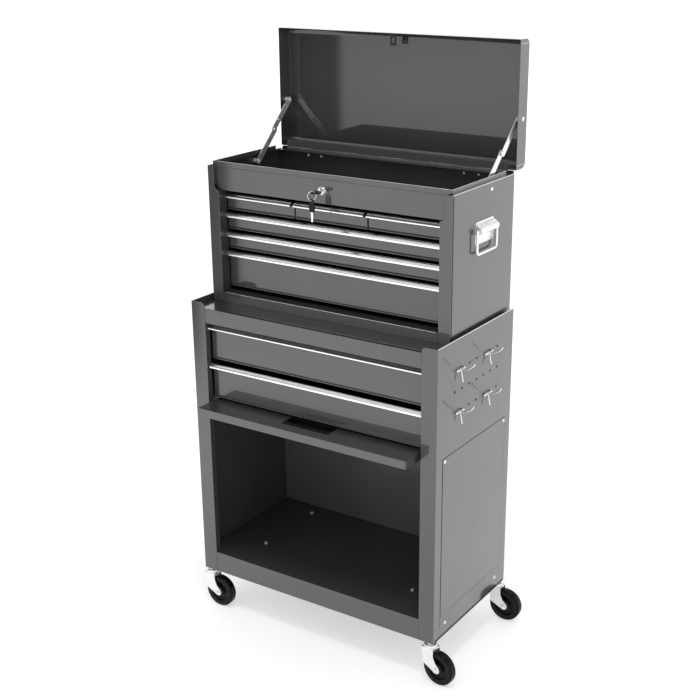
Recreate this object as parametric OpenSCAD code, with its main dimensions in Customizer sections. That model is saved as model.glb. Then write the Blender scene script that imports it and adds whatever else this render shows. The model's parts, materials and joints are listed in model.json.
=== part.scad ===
// Rolling tool chest: a two-drawer cabinet on four swivel casters, with a six-drawer
// top chest standing in its tray. The lid is drawn open and the flip-up door stowed.
// Millimetres, +Z up, X to the right and Y to the back. z = 0 is the floor.

/* [Cabinet] */
// Width of the cabinet over its side sheets
cab_w = 615; // [600:1:640]
// Depth of the cabinet
cab_d = 322; // [316:1:330]
// Height of the cabinet from its underside to the rim
cab_h = 651; // [646:1:660]
// Height of the rim above the tray floor
tray_drop = 12; // [8:1:16]
// Thickness of the painted sheet steel
sheet = 1.2; // [1.0:0.1:1.5]
// Face width of the cabinet's front posts
cab_post_w = 36; // [32:1:40]
// Height of the rail over the cabinet drawers
rail_top_h = 33; // [28:1:36]
// Height of the plinth under the cavity
plinth_h = 49; // [40:1:56]

/* [Top chest] */
// Width of the top chest
chest_w = 596; // [590:1:598]
// Depth of the top chest
chest_d = 258; // [250:1:262]
// Height of the top chest, lid not counted
chest_h = 297.5; // [294:0.5:304]
// Face width of the chest's front posts
chest_post_w = 27.5; // [25:0.5:29]
// How far the lock fascia lies behind the posts' faces
fascia_recess = 10.5; // [8:0.5:12]
// Height of the lock fascia
fascia_h = 52; // [50:1:54]
// Height of the raised lip inside the lid
lip_h = 9; // [6:1:10]
// Inset of the raised lip from the chest's sides
lip_inset = 6.6; // [6:0.1:7]

/* [Lid] */
// Depth of the lid's skirt
lid_depth = 40; // [38:1:44]
// Bend radius along the lid's front and rear edges
lid_bend = 14; // [8:1:16]
// Distance of the hinge axis behind the chest's back
hinge_back = 5; // [4:0.5:6]

/* [Drawers] */
// Height of a drawer pull strip
pull_h = 10; // [8:1:10]
// Depth of a drawer pull strip
pull_d = 14; // [12:1:14]
// Height of one row of shallow chest drawers
row_pitch = 42.5; // [42:0.5:43]

/* [Door] */
// Width of the flip-up door
door_w = 529; // [520:1:530]
// Length of the door, from its rear edge when stowed to its front edge
door_len = 361; // [355:1:362]
// Thickness of the door over its folded rims
door_t = 18; // [14:1:18]

/* [Casters] */
// Diameter of the wheels
wheel_d = 75; // [70:1:75]
// Width of the wheels
wheel_w = 18; // [16:1:22]
// Distance of the axle behind the swivel axis
trail = 25; // [22:1:27]
// Height of the casters from the floor to the cabinet
caster_h = 92; // [92:1:98]
// Swivel of the front right caster
front_right_yaw = -8; // [-15:1:15]

/* [Fittings] */
// Spacing of the peg holes along the side
peg_pitch_y = 30; // [28:1:31]
// Spacing of the peg hole rows
peg_pitch_z = 45; // [42:1:46]
// Diameter of the peg holes
peg_hole_d = 5; // [4.5:0.1:5.5]
// Diameter of the chest handles' wire
bail_d = 5.6; // [5:0.1:6]
// Radius of the lock's front ring
lock_r = 8.7; // [8:0.1:9]
// Distance of the lock to the left of the middle
lock_off = 9; // [0:1:15]

/* [Hidden] */
$fn = 48;
eps = 0.01;
fit = 0.05;
gap = 0.3;

cab_hw = cab_w / 2;
cab_hd = cab_d / 2;
cab_z0 = caster_h;
rim_z = cab_z0 + cab_h;
tray_z = rim_z - tray_drop;
rail_top_z0 = tray_z - rail_top_h;
cavity_z0 = cab_z0 + plinth_h;
cab_open_hw = cab_hw - cab_post_w;
cab_return = 15;
bracket_t = 3;
bracket_z1 = cab_z0 + sheet + bracket_t;
post_round = 9;

chest_hw = chest_w / 2;
chest_y1 = cab_hd;
chest_y0 = chest_y1 - chest_d;
chest_yc = (chest_y0 + chest_y1) / 2;
chest_z0 = tray_z;
chest_z1 = chest_z0 + chest_h;
chest_open_hw = chest_hw - chest_post_w;
chest_return = 27;
fascia_y = chest_y0 + fascia_recess;
fascia_z0 = chest_z1 - fascia_h;
// At the fascia the chest's posts narrow to this width, below a round corner
cut_post_w = 15;
cut_round = 12.5;
// Seam where the side wraps round as the post
seam_w = 2;
seam_deep = 0.7;
cut_edge = 0.5;
lip_x = chest_hw - lip_inset;
lip_y = fascia_y;
lip_y1 = chest_y1 - 26;
lip_z1 = chest_z1 + lip_h;

// Drawer fronts: how far each pull lies behind the posts' faces, and the pull's lip
cab_pull_back = 4.5;
chest_pull_back = 14;
pull_lip = 5.5;
pull_t = 1.4;
front_lip = 10;
drawer_hw = chest_open_hw - 1.5;
cab_drawer_hw = cab_open_hw - 2.5;
box_t = 1.0;
bar_h = 11;
bar_reach = 12;
// The runner channels close round the drawers' bars with the gap
channel_in = 7;

// Chest drawer rows, from the top: the height of each drawer's upper edge
row_top = [for (i = [0:3]) fascia_z0 - 7 - i * row_pitch];
row_gap = 4.6;
small_pitch = (2 * drawer_hw + 3) / 3;
small_w = small_pitch - 3;
deep_h = 80.5;
// Cabinet drawers
cab_drawer_pitch = 89.7;
cab_drawer_top = [rail_top_z0 - 4.5, rail_top_z0 - 4.5 - cab_drawer_pitch];
cab_drawer_h = 81;

// Hinge axis of the lid, and the lid's outline
hinge_y = chest_y1 + hinge_back;
hinge_z = chest_z1 - 0.1;
leaf_t = 1;
hinge_hw = 280;
hinge_places = 9;
hinge_span = 2 * hinge_hw / hinge_places;
hinge_cut = 0.25;
knuckle_r = 2.8;
hinge_pin_r = 1.2;
lid_y0 = hinge_y + 0.1 + leaf_t;
lid_y1 = lid_y0 + lid_depth;
lid_z0 = hinge_z + hinge_back - 0.3;
lid_z1 = lid_z0 + chest_d + 2.5;
lid_hw = chest_hw + 0.5;
lid_flange = 15;

// Stays: pivots on the chest's side and on the lid's skirt, and the elbow between them
stay_low = [62, chest_z1 - 14.5];
stay_top = [188, chest_z1 + 105.5];
stay_len = norm(stay_top - stay_low);
stay_dir = atan2(stay_top[1] - stay_low[1], stay_top[0] - stay_low[0]);
stay_elbow = 88;
stay_r = 7;
stay_t = 1.5;
stay_lower_x = 283.5;
stay_upper_x = 287.5;
stay_pin_r = 2.5;

// Door: the pivot rod, its travel in the tracks and the pull's pocket
door_hw = door_w / 2;
door_top_z = 517.6;
door_pivot_in = 6;
rod_r = 3;
rod_z = door_top_z - door_t / 2;
door_rear_y = cab_hd - 4.6 - 2 * sheet;
rod_y = door_rear_y - door_pivot_in;
door_front_y = door_rear_y - door_len;
pocket_w = 118;
pocket_d = 42;
pocket_y0 = door_front_y + 28;
pocket_depth = 12;
roller_r = 6;

// Casters: swivel axes under the corners, with the yaw of each one
stem_inset_x = 12;
stem_inset_y = 10;
stem_x = cab_hw - stem_inset_x;
stem_y = cab_hd - stem_inset_y;
stem_r = 4;
wheel_r = wheel_d / 2;
axle_r = 4;
fork_gap = wheel_w / 2 + 2;
fork_t = 2.5;
fork_top_z = 78.5;
race_z1 = fork_top_z + 8;

// Peg holes and hooks on the right side
peg_row_z = cab_z0 + 541.5;
hook_stand = 4.5;
hook_wire_r = 1.7;
hook_reach = 30.5;
hook_rise = 15.5;
hook_turn = 2 * atan2(hook_rise, hook_reach);
hook_bend_r = hook_reach / sin(hook_turn);
hook_leg = 25;
hook_cols = [1.5, -2.5];

// Side handles
bail_r = bail_d / 2;
bail_x = chest_hw + 8;
bail_z = chest_z0 + 211;
bail_hw = 44.2 - bail_r;
bail_drop = 46.5;
bail_bend = 7;
cover_r = 7.5;
cover_hw = 38;
cover_z0 = bail_z - 29;
cover_z1 = bail_z + 16.5;
cover_t = 1.5;
// The cover's upper side slopes from this height on the wall out to the round bulge
ramp_z = bail_z + 14;

// Lock and keys
lock_x = -lock_off;
lock_z = chest_z1 - 25.5;
plug_r = 5.4;
key_y = fascia_y - 6;
bow_r = 11;
bow_y = key_y - 15;
bow_t = 3.2;
bow_hole_r = 4.9;
bow_bridge = 3;
// The ring hangs in a plane turned this far from the chest's depth
ring_turn = 30;
ring_r = 9.4;
ring_wire_r = 0.9;
spare_turn = 30;
spare_t = 2.8;
ring_arm = 9.5;
ring_drop = 6.1;
ring_x = lock_x - ring_arm * sin(ring_turn);
ring_y = bow_y - ring_arm * cos(ring_turn);
ring_z = lock_z - ring_drop;

// The origin stands under the middle of the bounding box at rest
reach_right = max(stem_x + trail + wheel_r, cab_hw + hook_stand + hook_reach + hook_wire_r);
reach_left = bail_x + cover_r;
frame_x = (reach_right - reach_left) / 2;
frame_y = (lid_y1 + door_front_y) / 2;

// ---- shared shapes ----

// A block between two opposite corners
module block(x0, x1, y0, y1, z0, z1) {
  translate([x0, y0, z0]) cube([x1 - x0, y1 - y0, z1 - z0]);
}

// The same shape on the right and, mirrored, on the left
module both_sides() {
  children();
  mirror([1, 0, 0]) children();
}

// A round bar from one point to another
module rod(a, b, r) {
  v = b - a;
  len = norm(v);
  translate(a) rotate([0, acos(v[2] / len), atan2(v[1], v[0])]) cylinder(r = r, h = len);
}

// A profile given as [y, z] points, drawn out along X from x0 to x1
module along_x(x0, x1) {
  translate([x0, 0, 0]) rotate([90, 0, 90]) linear_extrude(x1 - x0) children();
}

// A profile given as [x, z] points, drawn out along Y from y0 to y1
module along_y(y0, y1) {
  translate([0, y1, 0]) rotate([90, 0, 0]) linear_extrude(y1 - y0) children();
}

// Moves the object so that the origin is under its middle
module placed() {
  translate([-frame_x, -frame_y, 0]) children();
}

// ---- cabinet ----

// Front face of a cabinet post, with a rounded upper inner corner
module cab_post_face() {
  corner_x = cab_open_hw + post_round;
  along_y(-cab_hd, -cab_hd + sheet) union() {
    polygon([[cab_open_hw, cab_z0], [cab_hw, cab_z0], [cab_hw, rim_z], [corner_x, rim_z],
      [corner_x, rim_z - post_round], [cab_open_hw, rim_z - post_round]]);
    intersection() {
      translate([corner_x, rim_z - post_round]) circle(post_round);
      translate([cab_open_hw, rim_z - post_round]) square(post_round);
    }
  }
}

// Side sheet: wall, wrapped front post with its return, rear flange and rim hem
module cab_side_sheet() {
  hem = 3;
  block(cab_hw - sheet, cab_hw, -cab_hd, cab_hd, cab_z0, rim_z);
  cab_post_face();
  block(cab_open_hw, cab_open_hw + sheet, -cab_hd, -cab_hd + cab_return, bracket_z1 + sheet, rail_top_z0);
  block(cab_hw - 16, cab_hw, cab_hd - sheet, cab_hd, cab_z0, tray_z - 2 * sheet);
  block(cab_hw - hem, cab_hw, -cab_hd, cab_hd, rim_z - hem, rim_z);
}

module cab_side_left() {
  color("#4b4d4f") mirror([1, 0, 0]) cab_side_sheet();
}

module cab_side_right() {
  color("#4b4d4f") difference() {
    cab_side_sheet();
    for (col = [-3:3], row = [-1:1])
      translate([cab_hw - 2 * sheet, col * peg_pitch_y, peg_row_z + row * peg_pitch_z])
        rotate([0, 90, 0]) cylinder(d = peg_hole_d, h = 4 * sheet, $fn = 24);
  }
}

module cab_back() {
  back_y1 = cab_hd - sheet;
  color("#4b4d4f")
    block(-cab_hw + sheet, cab_hw - sheet, back_y1 - sheet, back_y1, cab_z0, tray_z - sheet);
}

// Cavity floor, bent down at the front into the plinth rail
module cab_floor() {
  front_y = -cab_hd + 0.4;
  rear_y = cab_hd - 2 * sheet;
  inner_hw = cab_hw - sheet;
  color("#4b4d4f") {
    block(-inner_hw, inner_hw, -cab_hd + cab_return + 2, rear_y, cavity_z0 - sheet, cavity_z0);
    block(-cab_open_hw + 0.5, cab_open_hw - 0.5, front_y, -cab_hd + cab_return + 3,
      cavity_z0 - sheet, cavity_z0);
    block(-cab_open_hw + 0.5, cab_open_hw - 0.5, front_y, front_y + sheet, cab_z0, cavity_z0);
    block(-cab_open_hw + 0.5, cab_open_hw - 0.5, front_y, front_y + cab_return, cab_z0, cab_z0 + sheet);
  }
}

module cab_tray() {
  color("#2c2d2f")
    block(-cab_hw + sheet, cab_hw - sheet, -cab_hd + 2 * sheet, cab_hd, tray_z - sheet, tray_z);
}

module cab_rail_top() {
  front_y = -cab_hd + 0.4;
  rail_hw = cab_open_hw - 0.5;
  color("#4b4d4f") {
    block(-rail_hw, rail_hw, front_y, front_y + sheet, rail_top_z0, tray_z);
    block(-rail_hw, rail_hw, front_y, front_y + cab_return, rail_top_z0, rail_top_z0 + sheet);
  }
}

// Cover plates over the lower part of both sides
module cab_side_panels() {
  panel_hd = 134;
  color("#505254") both_sides()
    block(cab_hw, cab_hw + 0.8, -panel_hd, panel_hd, cavity_z0 + 4, cavity_z0 + 363);
}

// Channels along the inside of both walls, in which the door's rollers run
module cab_door_tracks() {
  half = roller_r + gap + sheet;
  x0 = cab_open_hw + 18;
  x1 = cab_hw - sheet;
  y0 = -cab_hd + cab_return - 4;
  y1 = cab_hd - 2 * sheet;
  color("silver") both_sides() {
    block(x1 - sheet, x1, y0, y1, rod_z - half, rod_z + half);
    block(x0, x1, y0, y1, rod_z - half, rod_z - half + sheet);
    block(x0, x1, y0, y1, rod_z + half - sheet, rod_z + half);
  }
}

// A C-shaped runner channel, open towards the drawer
module runner(x, y0, y1, z) {
  half = bar_h / 2 + gap + sheet;
  block(x - sheet, x, y0, y1, z - half, z + half);
  block(x - channel_in, x, y0, y1, z - half, z - half + sheet);
  block(x - channel_in, x, y0, y1, z + half - sheet, z + half);
}

module cab_runners() {
  color("silver") both_sides()
    for (top = cab_drawer_top)
      runner(cab_open_hw + sheet, -cab_hd + cab_return + 19, cab_hd - 2 * sheet, bar_z(top, cab_drawer_h));
}

// Small dome head on the right side's outer face
module side_rivet(x, y, z, r) {
  translate([x, y, z]) rotate([0, 90, 0]) cylinder(r1 = r, r2 = r * 0.6, h = r * 0.5, $fn = 24);
}

// Screws, rivets and the casters' nuts
module fasteners() {
  color("silver") {
    both_sides() {
      for (y = [-127, 129]) side_rivet(cab_hw + 0.8, y, cavity_z0 + 356, 3.8);
      for (y = [-113, 113]) side_rivet(cab_hw, y, cavity_z0 - 20, 3.8);
    }
    for (x = [-200, 200], y = [-66, 119])
      translate([x, y, cavity_z0]) cylinder(r = 4, h = 3, $fn = 6);
    for (x = [-stem_x, stem_x], y = [-stem_y, stem_y])
      translate([x, y, race_z1 + 0.5]) difference() {
        cylinder(r = 7, h = cab_z0 - race_z1 - 0.5, $fn = 6);
        translate([0, 0, -1]) cylinder(r = stem_r, h = 9);
      }
    for (x = [-217, -182, 182, 217])
      translate([x, chest_y1 - 2 * sheet, chest_z1 - 10]) rotate([90, 0, 0])
        cylinder(r1 = 3, r2 = 2, h = 1.5, $fn = 24);
    both_sides() stay_stud(stay_low, stay_lower_x, stay_lower_x + stay_t + gap, chest_hw - sheet, chest_hw);
  }
}

// Wire hooks in the peg holes: a bar on two pegs, a prong curving up and a short leg
module hook() {
  x = cab_hw + hook_stand;
  half = peg_pitch_y / 2;
  bar_r = hook_wire_r + 0.2;
  leg_r = hook_wire_r - 0.2;
  for (side = [-1, 1]) {
    rod([cab_hw - 4, side * half, 0], [x, side * half, 0], hook_wire_r);
    translate([x, side * half, 0]) sphere(bar_r);
  }
  rod([x, -half, 0], [x, half, 0], bar_r);
  translate([x, 0, hook_bend_r]) rotate([90, 0, 0]) rotate([0, 0, -90])
    rotate_extrude(angle = hook_turn) translate([hook_bend_r, 0]) circle(hook_wire_r);
  rod([x, 0, 0], [x + 5, 0, -hook_leg], leg_r);
}

module hooks() {
  color("silver")
    for (col = hook_cols, row = [-1, 1])
      translate([0, col * peg_pitch_y, peg_row_z + row * peg_pitch_z]) hook();
}

// ---- casters ----

module caster_brackets() {
  plate = 44;
  color("#4b4d4f")
    for (mx = [0, 1], my = [0, 1]) mirror([mx, 0, 0]) mirror([0, my, 0]) difference() {
      block(cab_hw - sheet - plate, cab_hw - sheet, cab_hd - 2 * sheet - plate, cab_hd - 2 * sheet,
        cab_z0 + sheet, bracket_z1);
      translate([stem_x, stem_y, cab_z0]) cylinder(r = stem_r, h = 9);
    }
}

module caster_stems() {
  color("silver")
    for (x = [-stem_x, stem_x], y = [-stem_y, stem_y]) translate([x, y, 0]) {
      translate([0, 0, fork_top_z - 2]) cylinder(r = 7, h = 2 - gap);
      translate([0, 0, fork_top_z - 2]) cylinder(r = stem_r, h = 38);
    }
}

// One side plate of a fork: from under the top plate down and back to the axle
module fork_cheek() {
  tip = 8.5;
  rotate([90, 0, 0]) linear_extrude(fork_t) union() {
    polygon([[-15, fork_top_z + fork_t], [16, fork_top_z + fork_t], [16.5, wheel_r + 27],
      [trail - 3, wheel_r + 15], [trail + 6.5, wheel_r + 6], [trail + tip, wheel_r],
      [trail - 3.5, wheel_r - 7.7], [-8, wheel_r + 6]]);
    translate([trail, wheel_r]) circle(tip);
  }
}

// Fork with its riveted axle, drawn round the swivel axis with the axle towards +X
module fork() {
  half = fork_gap + fork_t;
  translate([0, half, 0]) fork_cheek();
  translate([0, -fork_gap, 0]) fork_cheek();
  difference() {
    union() {
      block(-15, 16, -half, half, fork_top_z, fork_top_z + fork_t);
      translate([0, 0, fork_top_z]) cylinder(r1 = 15, r2 = 13, h = race_z1 - fork_top_z);
    }
    translate([0, 0, fork_top_z - 1]) cylinder(r = stem_r + fit, h = 12);
  }
  translate([trail, half, wheel_r]) rotate([90, 0, 0]) cylinder(r = axle_r, h = 2 * half);
  for (side = [-1, 1])
    translate([trail, side * (half + 0.7), wheel_r]) rotate([90, 0, 0])
      cylinder(r = 5.5, h = 2, center = true);
}

// Solid tyre with a stepped hub and a bore for the axle
module wheel() {
  half = wheel_w / 2;
  hub_half = fork_gap - 0.5;
  translate([trail, 0, wheel_r]) rotate([90, 0, 0]) rotate_extrude($fn = 96)
    polygon([[axle_r + fit, -hub_half], [11, -hub_half], [12, -half + 4], [24, -half + 3], [27, -half],
      [wheel_r - 3, -half], [wheel_r - 0.8, -half + 3], [wheel_r, -half + 7], [wheel_r, half - 7],
      [wheel_r - 0.8, half - 3], [wheel_r - 3, half], [27, half], [24, half - 3], [12, half - 4],
      [11, hub_half], [axle_r + fit, hub_half]]);
}

// Stands a caster part under one corner, turned by its yaw
module at_corner(side, end, yaw) {
  translate([side * stem_x, end * stem_y, 0]) rotate([0, 0, yaw]) children();
}

module fork_fl() { color("silver") at_corner(-1, -1, 0) fork(); }
module fork_fr() { color("silver") at_corner(1, -1, front_right_yaw) fork(); }
module fork_rl() { color("silver") at_corner(-1, 1, 0) fork(); }
module fork_rr() { color("silver") at_corner(1, 1, 0) fork(); }
module wheel_fl() { color("#1a1a1a") at_corner(-1, -1, 0) wheel(); }
module wheel_fr() { color("#1a1a1a") at_corner(1, -1, front_right_yaw) wheel(); }
module wheel_rl() { color("#1a1a1a") at_corner(-1, 1, 0) wheel(); }
module wheel_rr() { color("#1a1a1a") at_corner(1, 1, 0) wheel(); }

// ---- flip-up door ----

// Pivot rod behind the door's rear edge, with a roller on each end
module door_rod() {
  end_x = cab_hw - 2 * sheet - 1;
  color("silver") {
    rod([-end_x, rod_y, rod_z], [end_x, rod_y, rod_z], rod_r);
    both_sides() translate([cab_open_hw + 20, rod_y, rod_z]) rotate([0, 90, 0])
      cylinder(r = roller_r, h = 9);
  }
}

// Door sheet with folded rims, a pocket for the pull and bores for the pivot rod
module door_panel() {
  under = door_top_z - sheet;
  low = door_top_z - door_t;
  px = pocket_w / 2;
  py1 = pocket_y0 + pocket_d;
  color("#505254") difference() {
    union() {
      block(-door_hw, door_hw, door_front_y, door_rear_y, under, door_top_z);
      block(-door_hw, door_hw, door_front_y, door_front_y + sheet, low, door_top_z);
      block(-door_hw, door_hw, door_front_y, door_front_y + 12, low, low + sheet);
      both_sides() {
        along_x(door_hw - sheet, door_hw) polygon([[door_front_y, low], [rod_y - rod_r, low],
          [door_rear_y, rod_z - 5], [door_rear_y, door_top_z], [door_front_y, door_top_z]]);
        block(door_hw - 10, door_hw, door_front_y, door_rear_y - 14, low, low + sheet);
      }
    }
    block(-px, px, pocket_y0, py1, under - 1, door_top_z + 1);
    both_sides() translate([door_hw - 4, rod_y, rod_z]) rotate([0, 90, 0])
      cylinder(r = rod_r + fit, h = 8);
  }
}

// Black pull cup set in the door's pocket, open upwards, with a finger ledge
module door_pull() {
  px = pocket_w / 2;
  py1 = pocket_y0 + pocket_d;
  low = door_top_z - pocket_depth;
  color("#111111") {
    block(-px, px, pocket_y0, py1, low, low + 1.5);
    block(-px, px, pocket_y0, pocket_y0 + 2, low, door_top_z + 0.6);
    block(-px, px, py1 - 2, py1, low, door_top_z + 0.6);
    block(-px, -px + 2, pocket_y0, py1, low, door_top_z + 0.6);
    block(px - 2, px, pocket_y0, py1, low, door_top_z + 0.6);
    block(-px, px, pocket_y0, pocket_y0 + 12, door_top_z - 1, door_top_z + 0.6);
  }
}

// ---- drawers ----

// Height of the slide bars of a drawer whose upper edge is at top
function bar_z(top, h) = top - h * 0.55;

// Extruded pull strip: a sloped top, a lip in front and a foot on the drawer's front
module pull_strip(x0, x1, y, top) {
  rise = pull_h - pull_lip;
  color("#d9dadb") along_x(x0, x1) polygon([
    [y, top - pull_h], [y, top - rise], [y + 1, top - rise + 0.6], [y + pull_d, top],
    [y + pull_d + 2, top], [y + pull_d + 2, top - pull_t], [y + pull_d, top - pull_t],
    [y + pull_t, top - rise - pull_t + 0.6], [y + pull_t, top - pull_h]]);
}

// Drawer: folded front with a bead along its lower edge, and an open box behind it
module drawer(x0, x1, y, top, h, box_hw, y1, bars, box_h) {
  xc = (x0 + x1) / 2;
  face = y + pull_d;
  up = top - pull_t;
  low = top - h;
  box_low = low + 3;
  color("#4b4d4f") {
    block(x0, x1, face, face + sheet, low, up);
    along_x(x0, x1) polygon([[face - 1.2, low + 5], [face, low + 3.8], [face, low + 6.2]]);
    block(x0, x1, face, face + front_lip, low, low + sheet);
    block(x0, x0 + sheet, face, face + front_lip, low, up);
    block(x1 - sheet, x1, face, face + front_lip, low, up);
    translate([xc, 0, 0]) {
      block(-box_hw, box_hw, face, y1, box_low, box_low + box_t);
      block(-box_hw, -box_hw + box_t, face, y1, box_low, box_low + box_h);
      block(box_hw - box_t, box_hw, face, y1, box_low, box_low + box_h);
      block(-box_hw, box_hw, y1 - box_t, y1, box_low, box_low + box_h);
      for (side = [-1, 1]) if (bars > 0)
        block(side > 0 ? box_hw - eps : -box_hw - bars, side > 0 ? box_hw + bars : -box_hw + eps,
          face + 16, y1 - 4, bar_z(top, h) - bar_h / 2, bar_z(top, h) + bar_h / 2);
    }
  }
}

// A cabinet drawer, i = 0 for the upper one
module cab_drawer(i) {
  hw = cab_open_hw + sheet - gap - bar_reach - sheet;
  drawer(-cab_drawer_hw, cab_drawer_hw, -cab_hd + cab_pull_back, cab_drawer_top[i], cab_drawer_h,
    hw, cab_hd - 12, bar_reach, cab_drawer_h - 12);
}

module cab_pull(i) {
  pull_strip(-cab_drawer_hw, cab_drawer_hw, -cab_hd + cab_pull_back, cab_drawer_top[i]);
}

module cab_drawer_1() { cab_drawer(0); }
module cab_drawer_2() { cab_drawer(1); }
module cab_pull_1() { cab_pull(0); }
module cab_pull_2() { cab_pull(1); }

// A small drawer of the chest's top row: k = -1, 0 or 1 from the left
module small_drawer(k) {
  xc = k * small_pitch;
  drawer(xc - small_w / 2, xc + small_w / 2, chest_y0 + chest_pull_back, row_top[0],
    row_pitch - row_gap, small_w / 2 - 3, chest_y1 - 12, 0, 29);
}

module small_pull(k) {
  xc = k * small_pitch;
  pull_strip(xc - small_w / 2, xc + small_w / 2, chest_y0 + chest_pull_back, row_top[0]);
}

// A full-width chest drawer in row i
module wide_drawer(i, h) {
  hw = chest_open_hw + sheet - gap - bar_reach - sheet;
  drawer(-drawer_hw, drawer_hw, chest_y0 + chest_pull_back, row_top[i], h, hw, chest_y1 - 12,
    bar_reach, h - 9);
}

module wide_pull(i) {
  pull_strip(-drawer_hw, drawer_hw, chest_y0 + chest_pull_back, row_top[i]);
}

module drawer_1a() { small_drawer(-1); }
module drawer_1b() { small_drawer(0); }
module drawer_1c() { small_drawer(1); }
module drawer_2() { wide_drawer(1, row_pitch - row_gap); }
module drawer_3() { wide_drawer(2, row_pitch - row_gap); }
module drawer_4() { wide_drawer(3, deep_h); }
module pull_1a() { small_pull(-1); }
module pull_1b() { small_pull(0); }
module pull_1c() { small_pull(1); }
module pull_2() { wide_pull(1); }
module pull_3() { wide_pull(2); }
module pull_4() { wide_pull(3); }

// ---- top chest ----

// Front face of a chest post, narrower beside the fascia below a hollow round corner
module chest_post_face() {
  cut_x = chest_hw - cut_post_w;
  along_y(chest_y0, chest_y0 + sheet) union() {
    translate([chest_open_hw, chest_z0]) square([chest_post_w, fascia_z0 - chest_z0]);
    translate([cut_x, fascia_z0 - eps]) square([cut_post_w, chest_z1 - fascia_z0 + eps]);
    difference() {
      translate([chest_open_hw, fascia_z0 - eps]) square([cut_round + eps, cut_round]);
      translate([chest_open_hw, fascia_z0 + cut_round]) circle(cut_round - cut_edge);
    }
  }
}

// Side sheet of the chest: wall, post, returns, and the ledge and lip inside the lid
module chest_side_sheet() {
  cut_x = chest_hw - cut_post_w;
  difference() {
    block(chest_hw - sheet, chest_hw, chest_y0, chest_y1, chest_z0, chest_z1);
    block(chest_hw - seam_deep, chest_hw + 1, chest_y0 + 4, chest_y0 + 4 + seam_w, chest_z0 - 1, chest_z1 + 1);
  }
  chest_post_face();
  block(chest_open_hw, chest_open_hw + sheet, chest_y0, chest_y0 + chest_return, chest_z0, fascia_z0);
  block(cut_x, cut_x + sheet, chest_y0, fascia_y, fascia_z0 + cut_round, chest_z1);
  block(chest_hw - 16, chest_hw, chest_y1 - sheet, chest_y1, chest_z0, chest_z1 - 3 * sheet);
  block(lip_x - sheet, chest_hw, fascia_y + sheet, chest_y1, chest_z1 - sheet, chest_z1);
  block(lip_x - sheet, lip_x, lip_y + sheet, lip_y1, chest_z1 - sheet, lip_z1);
}

module chest_side_left() {
  color("#4b4d4f") mirror([1, 0, 0]) chest_side_sheet();
}

module chest_side_right() {
  color("#4b4d4f") chest_side_sheet();
}

// Back sheet with the flange that carries the lid's hinge
module chest_back() {
  y1 = chest_y1 - sheet;
  flange_z = chest_z1 - leaf_t - 0.2;
  flange_hw = lip_x - 2 * sheet;
  color("#4b4d4f") {
    block(-chest_hw + sheet, chest_hw - sheet, y1 - sheet, y1, chest_z0 + sheet, chest_z1 - 2 * sheet);
    block(-flange_hw, flange_hw, chest_y1 - lid_flange, chest_y1, flange_z - sheet, flange_z);
  }
}

// Bottom sheet, bent up at the front into the rail under the drawers
module chest_base() {
  front_y = chest_y0 + 0.4;
  rail_hw = chest_open_hw - 0.5;
  rail_z1 = chest_z0 + 22;
  inner_hw = chest_open_hw + sheet;
  color("#4b4d4f") {
    block(-chest_hw + sheet, chest_hw - sheet, chest_y0 + chest_return + 2, chest_y1 - 2 * sheet,
      chest_z0, chest_z0 + sheet);
    block(-rail_hw, rail_hw, front_y, chest_y0 + chest_return + 3, chest_z0, chest_z0 + sheet);
    block(-rail_hw, rail_hw, front_y, front_y + sheet, chest_z0, rail_z1);
    block(-rail_hw, rail_hw, front_y, chest_y0 + chest_pull_back + pull_d + 2, rail_z1 - sheet, rail_z1);
  }
}

// Lock fascia with the front of the raised lip, grooved along the lid's line
module chest_fascia() {
  hw = chest_hw - cut_post_w - eps;
  groove = 1.6;
  color("#4b4d4f") difference() {
    union() {
      block(-hw, hw, fascia_y, fascia_y + 1.5 * sheet, fascia_z0, chest_z1 - sheet);
      block(-lip_x, lip_x, lip_y, lip_y + sheet, chest_z1 - sheet, lip_z1);
      block(-hw, hw, fascia_y, fascia_y + 8, fascia_z0, fascia_z0 + sheet);
    }
    block(-hw - 1, hw + 1, fascia_y - 1, fascia_y + 0.5 * sheet, chest_z1 - sheet - groove, chest_z1 - sheet);
    translate([lock_x, fascia_y - 2, lock_z]) rotate([-90, 0, 0]) cylinder(r = plug_r + 2, h = 6);
  }
}

// Floor of the well under the lid, with upturned edges
module chest_well() {
  hw = chest_hw - 2 * sheet - 1;
  y0 = fascia_y + 9;
  y1 = chest_y1 - 2 * sheet;
  color("#2c2d2f") {
    block(-hw, hw, y0, y1, fascia_z0, fascia_z0 + sheet);
    block(-hw, hw, y0, y0 + sheet, fascia_z0, fascia_z0 + 8);
  }
}

// Shelf and dividers that guide the three small drawers
module chest_shelf() {
  y0 = chest_y0 + chest_pull_back + pull_d + 14;
  y1 = chest_y1 - 2 * sheet;
  low = row_top[0] - row_pitch + row_gap - 2.2;
  hw = 1.5 * small_pitch;
  color("#2c2d2f") {
    block(-hw, hw, y0, y1, low, low + sheet);
    for (k = [-1.5, -0.5, 0.5, 1.5])
      block(k * small_pitch - sheet / 2, k * small_pitch + sheet / 2, y0, y1, low, fascia_z0);
  }
}

module chest_runners() {
  y0 = chest_y0 + chest_return + 16;
  y1 = chest_y1 - 2 * sheet;
  shallow = row_pitch - row_gap;
  color("silver") both_sides()
    for (drawer = [[1, shallow], [2, shallow], [3, deep_h]])
      runner(chest_open_hw + sheet, y0, y1, bar_z(row_top[drawer[0]], drawer[1]));
}

// ---- lid, hinge and stays ----

// Side outline of the lid, square at the open edge and round at the folded ones
module lid_outline(inset) {
  r = lid_bend - inset;
  y1 = lid_y1 - inset;
  z0 = lid_z0 + inset;
  z1 = lid_z1 - inset;
  polygon([[lid_y0 - inset, z0], [y1 - r, z0], [y1 - r, z0 + r], [y1, z0 + r], [y1, z1 - r],
    [y1 - r, z1 - r], [y1 - r, z1], [lid_y0 - inset, z1]]);
  for (z = [z0 + r, z1 - r]) translate([y1 - r, z]) circle(r);
}

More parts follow.
